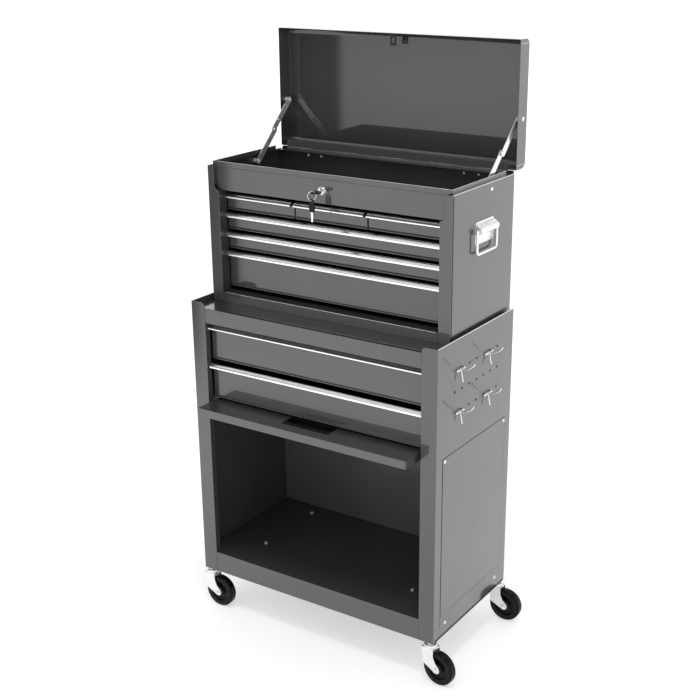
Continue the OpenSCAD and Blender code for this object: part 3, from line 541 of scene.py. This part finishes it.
def pull_profile(low, high, lip, bend):
    """A pull's outline in Y and Z, as its outer side and the hollow behind it."""
    def rise(t):
        return 1 - (1 - min(1.0, t / bend)) ** SLOPE_POWER

    front, back, top, bottom = low.y, high.y, high.z, low.z
    slope_to = back - LEVEL_BACK
    crown_y = slope_to - front
    crown_z = top - bottom - lip
    outer = [(back, top - WALL), (back, top), (slope_to, top)]
    for i in range(SLOPE_STEPS - 1, 0, -1):
        t = i / SLOPE_STEPS
        outer.append((front + crown_y * t, bottom + lip + crown_z * rise(t)))
    outer += [(front + ROUNDING, bottom + lip + 0.2 * MM), (front, bottom + lip - ROUNDING),
              (front, bottom + 0.5 * MM), (front + 0.5 * MM, bottom),
              (front + WALL - ROUNDING, bottom), (front + WALL, bottom + ROUNDING)]
    hollow = []
    for i in range(1, HOLLOW_STEPS + 1):
        t = i / HOLLOW_STEPS
        hollow.append((front + WALL + (crown_y - WALL) * t, bottom + lip - WALL + crown_z * rise(t)))
    return outer, hollow


CAP = 2.2 * MM
# where the three top pulls meet, a black cap closes the strip: a dark end face, and a painted shade in the
# gap between the strips; (at its left end, at its right end)
END_CAPS_AND_SHADE = {"pull_1a": (0, 1), "pull_1b": (1, 1), "pull_1c": (1, 0)}

for node_name, body in PULLS.items():
    low, high = node_box(node_name)
    lip, bend = UNDER_RAIL if "1" in node_name else IN_THE_OPEN
    outer, hollow = pull_profile(low, high, lip, bend)
    cap_low, cap_high = END_CAPS_AND_SHADE.get(node_name, (0, 0))
    length = high.x - low.x - (cap_low + cap_high) * CAP
    bm = bmesh.new()
    prism(bm, outer + hollow, across(low.x + cap_low * CAP), length)
    strip = piece(node_name + "_extrusion", bm, aluminium, body, 25)
    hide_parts(node_name)
    if cap_low or cap_high:
        bm = bmesh.new()
        for wanted, x in ((cap_low, low.x), (cap_high, high.x - CAP)):
            if wanted:
                prism(bm, outer, across(x), CAP)
        piece(node_name + "_end_caps_and_shade", bm, black, body, 25)


# Wheels: solid moulded wheel with a crowned tread, ringed recesses and a steel bushing

# one side of the moulding from the bore outwards, in mm: radius, and height from the hub's face
MOULDING = [(4.2, 0), (10.2, 0), (11, -0.8), (11.6, -6.0), (12.4, -6.5), (17.6, -6.2),
            (18.2, -5.6), (19.4, -5.6), (20, -6.1), (22.8, -5.7), (24.2, -2.7), (25, -1.9),
            (27.2, -1.6), (27.8, -2.3), (28.6, -2.3), (29.2, -1.5)]
WHEEL_HALF = 9 * MM
HUB_HALF = WHEEL_HALF + 1.5 * MM
SHOULDER_R = 4 * MM
BUSHING_R = (4.15 * MM, 6.4 * MM, 6.6 * MM)
CHEEK = WHEEL_HALF + 2 * MM + 2.5 * MM
BOLT_AT = CHEEK + 0.8 * MM
RACE_R, RACE_Z = 14.1 * MM, 81.8 * MM
BALLS = 14
BALL_RING_R, BALL_Z = 15.0 * MM, 82.6 * MM


def wheel_profile(radius):
    """Closed outline from the bore out over two moulded rings and the tread, and back."""
    outline = [(r * MM, HUB_HALF + h * MM) for r, h in MOULDING]
    outline += arc(radius - SHOULDER_R, WHEEL_HALF - SHOULDER_R, SHOULDER_R, 84, 8, 7)
    outline.append((radius, 0.3 * WHEEL_HALF))
    return outline + [(r, -h) for r, h in reversed(outline)]


for corner in ("fl", "fr", "rl", "rr"):
    joint = joints["roll_" + corner]
    centre = Vector(joint["pos_m"])
    axis = Vector(joint["axis"])
    low, high = node_box("wheel_" + corner)
    radius = (high.z - low.z) / 2
    bm = bmesh.new()
    lathe_loop(bm, wheel_profile(radius), centre, axis, 128)
    wheel = piece("wheel_moulding_" + corner, bm, tread, "wheel_" + corner, 28)
    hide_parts("wheel_" + corner)
    # thin rings on the moulded ridges, in the lighter black that paints a highlight on them
    ridges = ((radius - 1.6 * MM, WHEEL_HALF - 1.5 * MM), (28.4 * MM, WHEEL_HALF - 0.75 * MM),
              (11.2 * MM, WHEEL_HALF + 0.6 * MM))
    bm = bmesh.new()
    for ridge_r, height in ridges:
        for side in (-1, 1):
            lathe_loop(bm, full_circle(ridge_r, 0, 0.42 * MM, 6), centre + axis * side * height, axis, 72)
    piece("wheel_ridge_highlights_" + corner, bm, ridge_highlight, "wheel_" + corner)
    bore, rim, outside = BUSHING_R
    face, chamfer = WHEEL_HALF + 1.7 * MM, WHEEL_HALF + 1.4 * MM
    bm = bmesh.new()
    lathe_loop(bm, [(bore, face), (rim, face), (outside, chamfer),
                    (outside, -chamfer), (rim, -face), (bore, -face)], centre, axis, 32)
    piece("wheel_bushing_" + corner, bm, zinc, "wheel_" + corner)
    # axle bolt and nut, and the ball race under the fork's crown with its balls
    bm = bmesh.new()
    hex_head(bm, centre + axis * BOLT_AT, axis, 5.2 * MM, 2.6 * MM)
    hex_head(bm, centre - axis * BOLT_AT, -axis, 5.2 * MM, 3.4 * MM)
    lathe(bm, [(0.0, 0.0), (2.6 * MM, 0.0), (2.6 * MM, 5.0 * MM), (2.1 * MM, 5.6 * MM), (0.0, 5.6 * MM)],
          centre - axis * BOLT_AT, -axis, 18)
    stem = Vector(joints["swivel_" + corner]["pos_m"])
    lathe_loop(bm, full_circle(RACE_R, RACE_Z, 1.1 * MM, 8), (stem.x, stem.y, 0), (0, 0, 1), 48)
    for k in range(BALLS):
        angle = math.tau * k / BALLS
        out_x, out_y = math.cos(angle), math.sin(angle)
        spot = Vector((stem.x + BALL_RING_R * out_x, stem.y + BALL_RING_R * out_y, BALL_Z))
        dome(bm, spot, (out_x, out_y, 0), 1.3 * MM, 0.7 * MM, 10)
    piece("caster_hardware_" + corner, bm, zinc, "caster_" + corner)


# Lock: bezel ring round the barrel, and the key in its plug

low, high = node_box("lock_barrel")
lock = Vector(((low.x + high.x) / 2, low.y, (low.z + high.z) / 2))
bm = bmesh.new()
lathe_loop(bm, full_circle(6.6 * MM, 0.2 * MM, 1.0 * MM, 10), lock, (0, -1, 0), 48)
lathe_loop(bm, [(8.6 * MM, -4.0 * MM), (8.9 * MM, -3.2 * MM), (8.5 * MM, -2.6 * MM), (8.0 * MM, -3.0 * MM)],
           lock, (0, -1, 0), 48)
piece("lock_bezel", bm, chrome, "body")

low, high = node_box("lock_key")
pivot = Vector(joints["lock_turn"]["pos_m"])
bridge = Vector(joints["keys_swing"]["pos_m"])
BOW_R = 11 * MM
BOW_T = 3.2 * MM
bow_centre = Vector((pivot.x, low.y + BOW_R, pivot.z))
to_bridge = bridge - bow_centre
ring_turn = math.atan2(-to_bridge.x, -to_bridge.y)


def bow_outline(radius, shoulder, reach):
    """Round key bow whose sides draw in to a shoulder; X is across, Y towards the blade."""
    start = math.degrees(math.asin(shoulder / radius))
    points = arc(0, 0, radius, 90 + start, 450 - start, 30)
    return points + [(shoulder, reach), (-shoulder, reach)]


def plate_with_hole(bm, outline, hole, matrix, thick, rounding):
    """Flat plate with a round hole; outline and hole have the same number of points."""
    inset = []
    n = len(outline)
    for i in range(n):
        ahead = Vector(outline[(i + 1) % n]) - Vector(outline[i - 1])
        ahead.normalize()
        inset.append((outline[i][0] - ahead.y * rounding, outline[i][1] + ahead.x * rounding))
    hx = sum(p[0] for p in hole) / n
    hy = sum(p[1] for p in hole) / n
    wider = [(hx + (x - hx) * 1.12, hy + (y - hy) * 1.12) for x, y in hole]
    half = thick / 2
    layers = [(hole, -half + rounding), (wider, -half), (inset, -half), (outline, -half + rounding),
              (outline, half - rounding), (inset, half), (wider, half), (hole, half - rounding)]
    rings = [[bm.verts.new(matrix @ Vector((x, y, z))) for x, y in points] for points, z in layers]
    skin(bm, rings, loop=True)


# depth of each cut along the blade, as a share of half its height
TOOTH_CUTS = (0.9, 0.35, 0.75, 0.2, 0.6)


def blade(bm, matrix, length, height, thick, start):
    """Key blade along Y with a pointed tip, a raised rail on each face and cut teeth along one edge."""
    half = height / 2
    stop = start + length
    outline = [(-half, start), (-half, stop - 2 * MM), (0, stop), (half * 0.7, stop - 1.4 * MM)]
    pitch = (length - 8 * MM) / len(TOOTH_CUTS)
    for k, cut in enumerate(TOOTH_CUTS):
        y = stop - 3 * MM - k * pitch
        depth = cut * half
        outline += [(half, y), (half - depth, y - pitch * 0.35), (half - depth, y - pitch * 0.6)]
    outline += [(half, start + 4 * MM), (half, start)]
    prism(bm, outline[::-1], matrix @ Matrix.Translation((0, 0, -thick / 2)), thick)
    rail_from, rail_to = start + 2 * MM, stop - 3 * MM
    rail = [(-half * 0.2, rail_from), (-half * 0.2, rail_to),
            (half * 0.05, rail_to), (half * 0.05, rail_from)]
    for side in (-1, 1):
        lay = matrix @ Matrix.Translation((0, 0, side * thick / 2 - 0.15 * MM))
        prism(bm, rail, lay, 0.3 * MM, 0.05 * MM)


def round_hole(outline, x0, y0, radius):
    """A round hole with a point on the bearing of each point of the outline."""
    bearings = [math.atan2(y - y0, x - x0) for x, y in outline]
    return [(x0 + radius * math.cos(a), y0 + radius * math.sin(a)) for a in bearings]


# the key in the lock: black bow lying flat, its hole towards the ring
PLUG_R = 5.35 * MM
hole_at = Vector((to_bridge.x, to_bridge.y)).normalized() * 3.1 * MM
bow = bow_outline(BOW_R, 5.6 * MM, 12.5 * MM)
hole = round_hole(bow, hole_at.x, hole_at.y, 4.9 * MM)
bm = bmesh.new()
plate_with_hole(bm, bow, hole, Matrix.Translation(bow_centre), BOW_T, 0.7 * MM)
key_bow = piece("lock_key_bow", bm, black, "lock_key", 40)
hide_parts("lock_key")
bm = bmesh.new()
lathe(bm, [(0.0, 12 * MM), (PLUG_R, 12 * MM), (PLUG_R, -4.0 * MM), (4.9 * MM, -4.4 * MM), (0.0, -4.4 * MM)],
      Vector((pivot.x, lock.y + 4 * MM, pivot.z)), (0, 1, 0), 40)
blade(bm, Matrix.Translation(bow_centre), high.y - bow_centre.y - 12 * MM, 6.8 * MM, 1.9 * MM, 11 * MM)
piece("lock_plug_and_blade", bm, chrome, "lock_key")

# the ring, wound nearly twice round, with the spare key hanging on it
RING_R = 9.4 * MM
RING_DROP = 6.1 * MM
RING_WIRE_R = 0.55 * MM
RING_WIND = 0.9 * MM
RING_TURNS = 1.86
RING_STEPS = 80
RING_START = 0.6
ring_centre = Vector((bridge.x, bridge.y, bridge.z - RING_DROP))
ring_side = Vector((math.cos(ring_turn), -math.sin(ring_turn), 0))
ring_out = Vector((-math.sin(ring_turn), -math.cos(ring_turn), 0))
path = []
for i in range(RING_STEPS + 1):
    angle = math.tau * RING_TURNS * i / RING_STEPS + RING_START
    path.append(ring_centre + ring_out * RING_R * math.cos(angle) + Vector((0, 0, RING_R * math.sin(angle)))
                + ring_side * (i / RING_STEPS - 0.5) * RING_WIND)
bm = bmesh.new()
tube(bm, path, RING_WIRE_R, 12)
piece("split_ring", bm, chrome, "key_ring")

SPARE_LEN = 22 * MM
SPARE_HALF = 6.6 * MM
SPARE_HOLE = 2.4 * MM
SPARE_TURN = 30
down = Matrix((
    (ring_out.x, 0, ring_side.x, ring_centre.x), (ring_out.y, 0, ring_side.y, ring_centre.y),
    (0, -1, 0, ring_centre.z - RING_R), (0, 0, 0, 1)))
spare = (down @ Matrix.Translation((0, SPARE_HOLE - 0.75 * MM, 0))
         @ Matrix.Rotation(math.radians(90 - SPARE_TURN), 4, "Y"))
right_side = [(SPARE_HALF, 5 * MM), (SPARE_HALF + 0.6 * MM, 10 * MM), (SPARE_HALF, 16 * MM),
              (5.2 * MM, SPARE_LEN - 1.5 * MM), (4.4 * MM, SPARE_LEN)]
outline = arc(0, 0.4 * MM, 5.6 * MM, 200, 340, 10) + right_side + [(-x, y) for x, y in reversed(right_side)]
bm = bmesh.new()
plate_with_hole(bm, outline, round_hole(outline, 0, 0, SPARE_HOLE), spare, 2.8 * MM, 0.5 * MM)
spare_bow = piece("spare_key_bow", bm, black, "key_ring", 40)
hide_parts("key_ring")
bm = bmesh.new()
blade(bm, spare, 21 * MM, 5.2 * MM, 1.6 * MM, SPARE_LEN - 0.5 * MM)
piece("spare_key_blade", bm, chrome, "key_ring")


# Rolled rims: thin beads that round off the raw sheet edges, in a bright metal that paints a highlight along
# them

cab_sides = ((-1, cab_left_low.x), (1, cab_right_high.x))
chest_sides = ((-1, chest_left_low.x), (1, chest_right_high.x))
bm = bmesh.new()
rim_z = cab_right_high.z - 0.5 * MM
for sign, x in cab_sides:
    rim_x = x - sign * 0.5 * MM
    tube(bm, [(rim_x, cab_right_low.y + 1.2 * MM, rim_z),
              (rim_x, cab_right_high.y - 1.2 * MM, rim_z)], 0.8 * MM, 12)
piece("cabinet_rim_rolls", bm, highlight_rim_metal, "body")

POST_IN = 33 * MM
chest_top = joints["lid_hinge"]["pos_m"][2] + 0.1 * MM
rim_z = chest_top - 0.5 * MM
bm = bmesh.new()
for sign, x in chest_sides:
    rim_x = x - sign * 0.4 * MM
    tube(bm, [(rim_x, chest_right_low.y + 1 * MM, rim_z),
              (rim_x, chest_right_high.y - 1 * MM, rim_z)], 0.75 * MM, 12)
base_low, base_high = node_box("chest_base")
ledge = (base_low.y + 0.5 * MM, base_high.z - 0.5 * MM)
tube(bm, [(base_low.x + POST_IN, *ledge), (base_high.x - POST_IN, *ledge)], 0.6 * MM, 12)
piece("chest_rim_rolls", bm, highlight_rim_metal, "body")

# the roll round the chest's opening: back along one side, across the front and back along the other
LIP_IN = 0.6 * MM
LIP_CORNER = 1.4 * MM
low_lip, high_lip = node_box("chest_fascia")
lip_z = high_lip.z - 0.5 * MM
lip_back = chest_right_high.y - 27 * MM
lip_front = low_lip.y + 2 * MM
lip_x = joints["lid_hinge"]["pos_m"][0]
lip_half = (chest_right_high.x - chest_left_low.x) / 2 - 6.6 * MM - LIP_IN
bm = bmesh.new()
tube(bm, [(lip_x - lip_half, lip_back, lip_z), (lip_x - lip_half, lip_front, lip_z),
          (lip_x - lip_half + LIP_CORNER, low_lip.y + LIP_IN, lip_z),
          (lip_x + lip_half - LIP_CORNER, low_lip.y + LIP_IN, lip_z),
          (lip_x + lip_half, lip_front, lip_z), (lip_x + lip_half, lip_back, lip_z)], 0.6 * MM)
piece("chest_lip_roll", bm, highlight_rim_metal, "body")

# the folded seam where each side sheet meets its post, with a black strip in it that paints the seam's shade;
# (back from the front, outwards) in mm
SEAM = [(1.6, 0.0), (1.6, 0.9), (2.0, 1.0), (4.2, 1.0), (4.6, 0.9), (4.6, 0.0)]
SEAM_DEPTH = 0.9 * MM
bm = bmesh.new()
for sign, x in chest_sides:
    outline = [(chest_right_low.y + y * MM, x + sign * (t * MM - SEAM_DEPTH)) for y, t in SEAM]
    prism(bm, outline, upward(chest_right_low.z + 1 * MM), chest_top - chest_right_low.z - 3 * MM)
piece("chest_seam_painted_shade", bm, black, "body")


def flat_strip(bm, x, sign, proud, sunk, y0, y1, z0, height):
    """A thin strip let into a side sheet whose outer face is at x."""
    inner, outer = x - sign * sunk, x + sign * proud
    prism(bm, [(y0, inner), (y0, outer), (y1, outer), (y1, inner)], upward(z0), height)


# a black strip that paints a shadow line under the outside of each cabinet side, where the sheet is folded in
bm = bmesh.new()
for sign, x in cab_sides:
    flat_strip(bm, x, sign, 0.25 * MM, 0.5 * MM, cab_right_low.y + 6 * MM, cab_right_high.y - 6 * MM,
               cab_right_low.z + 0.2 * MM, 5 * MM)
piece("cabinet_foot_painted_shadow", bm, black, "body")

# a dark joint line round each bolted-on side panel
panel_low, panel_high = node_box("cab_side_panels")
y0, y1, z0, z1 = panel_low.y, panel_high.y, panel_low.z, panel_high.z
LINE = 1 * MM
PANEL_LINES = ((y0 - 1.3 * MM, y0, z0 - 28 * MM, z1 + LINE), (y1, y1 + 1.8 * MM, z0, z1 + LINE),
               (y0, y1, z1, z1 + LINE), (y0, y1, z0 - 1.4 * MM, z0))
bm = bmesh.new()
for sign, x in cab_sides:
    for ya, yb, za, zb in PANEL_LINES:
        flat_strip(bm, x, sign, 0.12 * MM, 0.4 * MM, ya, yb, za, zb - za)
piece("side_panel_joints", bm, black, "body")

# stud heads on the lid's skirts, near the upper pivots of the stays
LID_STUD_Y = 189.5 * MM
LID_STUD_Z = 1135.4 * MM
low_lid, high_lid = node_box("lid_shell")
lid_sides = ((-1, low_lid.x), (1, high_lid.x))
bm = bmesh.new()
for sign, x in lid_sides:
    dome(bm, (x - sign * 0.1 * MM, LID_STUD_Y, LID_STUD_Z), (sign, 0, 0), 4.4 * MM, 1.6 * MM)
piece("lid_stud_heads", bm, bright, "lid")

# where the lid's corners are lapped, a bead in the bright rim metal paints a highlight across each skirt
LAP_IN = 9 * MM
bm = bmesh.new()
for sign, x in lid_sides:
    lap_x = x - sign * 0.3 * MM
    for z in (low_lid.z + LAP_IN, high_lid.z - LAP_IN):
        tube(bm, [(lap_x, low_lid.y + 2 * MM, z), (lap_x, high_lid.y - 6 * MM, z)], 0.45 * MM, 10)
piece("lid_lap_edges", bm, highlight_rim_metal, "lid")

# round stops close the ends of the hinge line
STOP_R = 4.4 * MM
STOP_CHAMFER = 0.5 * MM
hinge = Vector(joints["lid_hinge"]["pos_m"])
leaf_low, leaf_high = node_box("hinge_leaf_chest")
bm = bmesh.new()
for x, way, stop in ((leaf_low.x - 0.6 * MM, -1, low_lid.x), (leaf_high.x + 0.6 * MM, 1, high_lid.x)):
    reach = abs(stop - x) - 6 * MM
    face_r = STOP_R - STOP_CHAMFER
    lathe(bm, [(0.0, 0.0), (face_r, 0.0), (STOP_R, STOP_CHAMFER), (STOP_R, reach - STOP_CHAMFER),
               (face_r, reach), (0.0, reach)], (x, hinge.y, hinge.z), (way, 0, 0), 28)
piece("hinge_end_stops", bm, black, "body")

# the rolled front edge of the lid: up one skirt, across the top and down the other
edge_y = low_lid.y + 0.9 * MM
left_x, right_x = low_lid.x + 0.6 * MM, high_lid.x - 0.6 * MM
foot_z, turn_z, head_z = low_lid.z + 1 * MM, high_lid.z - 1 * MM, high_lid.z - 0.6 * MM
bm = bmesh.new()
tube(bm, [(left_x, edge_y, foot_z), (left_x, edge_y, turn_z), (left_x + 1 * MM, edge_y, head_z),
          (right_x - 1 * MM, edge_y, head_z), (right_x, edge_y, turn_z), (right_x, edge_y, foot_z)], 0.6 * MM)
piece("lid_skirt_roll", bm, paint_grey, "lid")


# Drawers: a rolled bead along the foot of each front with a black strip above it that paints the shade of a
# crease, and a ribbed liner inside

pull_of = {body: pull for pull, body in PULLS.items()}
insides = [opening["box_m"] for opening in frame["record"]["physics"]["openings"]]
NEAR = 1 * MM
LINER_RIBS = 36
LINER_LIFT = 4.1 * MM
LINER_T = 1 * MM
RIB_TOP = 1.7 * MM


def inside_of(low, high):
    """The opening that stands on a drawer's floor, if the record has one."""
    for box_low, box_high in insides:
        fits = all(low[k] - NEAR <= box_low[k] and box_high[k] <= high[k] + NEAR for k in (0, 1))
        if fits and low.z - NEAR <= box_low[2] <= low.z + 9 * MM:
            return box_low, box_high
    return None


def liner_outline(front, back, base):
    """Section of a liner in Y and Z: flat below, ribs across the drawer above."""
    pitch = (back - front - 2 * MM) / LINER_RIBS
    flat = base + LINER_T
    outline = [(front + 1 * MM, base), (back - 1 * MM, base), (back - 1 * MM, flat)]
    for k in range(LINER_RIBS, 0, -1):
        y = front + 1 * MM + pitch * k
        outline += [(y - pitch * 0.2, flat), (y - pitch * 0.35, base + RIB_TOP),
                    (y - pitch * 0.65, base + RIB_TOP), (y - pitch * 0.8, flat)]
    outline.append((front + 1 * MM, flat))
    return outline


for name in sorted(pull_of):
    low, high = node_box(name)
    strip_low, strip_high = node_box(pull_of[name])
    x0, x1 = strip_low.x + 1.5 * MM, strip_high.x - 1.5 * MM
    bead_y, bead_z = low.y + 1.2 * MM - 0.3 * MM, low.z + 2.0 * MM
    bm = bmesh.new()
    tube(bm, [(x0, bead_y, bead_z), (x1, bead_y, bead_z)], 1.5 * MM, 14)
    piece(name + "_foot_bead", bm, paint_grey, name)
    # a black strip just above the bead: painted shade in the crease
    crease = [(low.y + 0.4 * MM, low.z + 3.9 * MM), (low.y - 0.15 * MM, low.z + 4.0 * MM),
              (low.y - 0.15 * MM, low.z + 5.0 * MM), (low.y + 0.4 * MM, low.z + 5.1 * MM)]
    bm = bmesh.new()
    prism(bm, crease, across(x0), x1 - x0)
    piece(name + "_foot_crease_painted_shade", bm, black, name)
    inside = inside_of(low, high)
    if inside:
        (ax, ay, _), (bx, by, _) = inside
        bm = bmesh.new()
        prism(bm, liner_outline(ay, by, low.z + LINER_LIFT), across(ax + 1 * MM), bx - ax - 2 * MM)
        piece(name + "_liner", bm, liner_mat, name)


# Pop rivets down the rear flanges of both boxes

RIVET_IN = 8 * MM
RIVET_PITCH = 100 * MM
bm = bmesh.new()
for low, high, first_z, last_z in (
        (cab_left_low, cab_right_high, cab_right_low.z + 30 * MM, cab_right_high.z - 45 * MM),
        (chest_left_low, chest_right_high, chest_right_low.z + 25 * MM, chest_top - 25 * MM)):
    gaps = max(3, round((last_z - first_z) / RIVET_PITCH))
    for x in (low.x + RIVET_IN, high.x - RIVET_IN):
        for k in range(gaps + 1):
            spot = Vector((x, high.y, first_z + (last_z - first_z) * k / gaps))
            dome(bm, spot, (0, 1, 0), 3.2 * MM, 1.3 * MM)
piece("rear_rivets", bm, zinc, "body")


# ---- floor, light and camera ---------------------------------------------------------------

def stand(name, corners):
    """A four-cornered sheet in the scene; the caller gives it a material."""
    mesh = bpy.data.meshes.new(name)
    mesh.from_pydata(corners, [], [(0, 1, 2, 3)])
    obj = bpy.data.objects.new(name, mesh)
    scene.collection.objects.link(obj)
    return obj


FLOOR_HALF = 5.0
floor = stand("studio_floor", [(-FLOOR_HALF, -FLOOR_HALF, 0), (FLOOR_HALF, -FLOOR_HALF, 0),
                               (FLOOR_HALF, FLOOR_HALF, 0), (-FLOOR_HALF, FLOOR_HALF, 0)])
floor_mat, floor_shader, floor_add, floor_link = new_material("pale_floor")
set_shader(floor_shader, Base_Color=(0.82, 0.82, 0.82, 1), Roughness=0.9, Specular_IOR_Level=0.1,
           Emission_Color=(1, 1, 1, 1))


def floor_ramp(direction, start, stop, low, high):
    """Glow that goes from low to high along a direction over the floor, between two distances."""
    along = floor_add("ShaderNodeVectorMath", operation="DOT_PRODUCT")
    along.inputs[1].default_value = direction
    floor_link(floor_coords, "Object", along, 0)
    ramp = floor_add("ShaderNodeMapRange", interpolation_type="SMOOTHSTEP")
    set_range(ramp, start, stop, low, high)
    floor_link(along, "Value", ramp, "Value")
    return ramp


# the floor under the object glows less than the floor further off that its glossy sides mirror
floor_coords = floor_add("ShaderNodeTexCoord")
floor_sum = floor_add("ShaderNodeMath", operation="ADD")
floor_link(floor_ramp((0.56, 0.83, 0.0), 0.3, 0.7, 0.44, 0.5), "Result", floor_sum, 0)
floor_link(floor_ramp((-0.56, -0.83, 0.0), 0.5, 1.2, 0.0, 0.26), "Result", floor_sum, 1)
floor_link(floor_sum, 0, floor_shader, "Emission Strength")
floor.data.materials.append(floor_mat)

# a white sky that fades towards the top
SKY = 1.35
world = bpy.data.worlds.new("studio")
scene.world = world
world.use_nodes = True
sky = world.node_tree
back = sky.nodes["Background"]
where = sky.nodes.new("ShaderNodeTexCoord")
along = sky.nodes.new("ShaderNodeVectorMath")
along.operation = "DOT_PRODUCT"
along.inputs[1].default_value = (0, 0, 1)
sky.links.new(where.outputs["Generated"], along.inputs[0])
fade = sky.nodes.new("ShaderNodeMapRange")
fade.interpolation_type = "SMOOTHSTEP"
set_range(fade, 0.1, 0.8, SKY, 0.5 * SKY)
sky.links.new(along.outputs["Value"], fade.inputs["Value"])
sky.links.new(fade.outputs["Result"], back.inputs["Strength"])
back.inputs["Color"].default_value = (1, 1, 1, 1)

# a soft key light overhead, aimed at the middle of the object
KEY_PLACE = (0.7, -0.9, 3.2)
middle = (cad_box[0] + cad_box[1]) / 2
key_data = bpy.data.lights.new("key_overhead", "AREA")
key_data.shape = "RECTANGLE"
key_data.size, key_data.size_y = 0.5, 0.5
key_data.energy = 14
key = bpy.data.objects.new("key_overhead", key_data)
scene.collection.objects.link(key)
key.location = KEY_PLACE
key.rotation_euler = (Vector(middle) - Vector(KEY_PLACE)).to_track_quat("-Z", "Y").to_euler()

# a black card beside the camera, seen only in reflections, darkens the left of the glossy fronts
CARD_INNER, CARD_OUTER = (-0.85, -0.82), (-2.4, -0.62)
CARD_FOOT, CARD_HEAD = 0.15, 1.9
card = stand("black_card", [(*CARD_INNER, CARD_FOOT), (*CARD_OUTER, CARD_FOOT),
                            (*CARD_OUTER, CARD_HEAD), (*CARD_INNER, CARD_HEAD)])
card_mat, card_shader, card_add, card_link = new_material("black_card")
set_shader(card_shader, Base_Color=(0.01, 0.01, 0.01, 1), Roughness=0.9, Specular_IOR_Level=0.0)
# its lower and inner edges fade out
card_coords = card_add("ShaderNodeTexCoord")
card_split = card_add("ShaderNodeSeparateXYZ")
card_link(card_coords, "Object", card_split, "Vector")
card_alpha = card_add("ShaderNodeMath", operation="MULTIPLY")
for factor, (axis, start, stop) in enumerate((("Z", CARD_FOOT, 0.5), ("X", CARD_INNER[0], -0.9))):
    fade = card_add("ShaderNodeMapRange", interpolation_type="SMOOTHSTEP")
    set_range(fade, start, stop, 0.0, 1.0)
    card_link(card_split, axis, fade, "Value")
    card_link(fade, "Result", card_alpha, factor)
card_link(card_alpha, 0, card_shader, "Alpha")
card.data.materials.append(card_mat)
card.visible_camera = False
card.visible_diffuse = False
card.visible_shadow = False

# the camera, solved from the photograph's straight edges
VIEW_FROM = Vector((1.37855, -2.09335, 1.5134))
VIEW_TO = Vector((0.00775, -0.00005, 0.616))
VIEW_ROLL = -0.32
camera_data = bpy.data.cameras.new("photo_view")
camera_data.sensor_width = 36.0
camera_data.lens = 63.2
camera_data.shift_x = -0.018
camera_data.shift_y = 0.018
camera = bpy.data.objects.new("photo_view", camera_data)
scene.collection.objects.link(camera)
camera.location = VIEW_FROM
roll = Matrix.Rotation(math.radians(VIEW_ROLL), 4, "Z")
aim = (VIEW_TO - VIEW_FROM).to_track_quat("-Z", "Y").to_matrix().to_4x4()
camera.rotation_euler = (aim @ roll).to_euler()
scene.camera = camera
scene.view_settings.view_transform = "Standard"
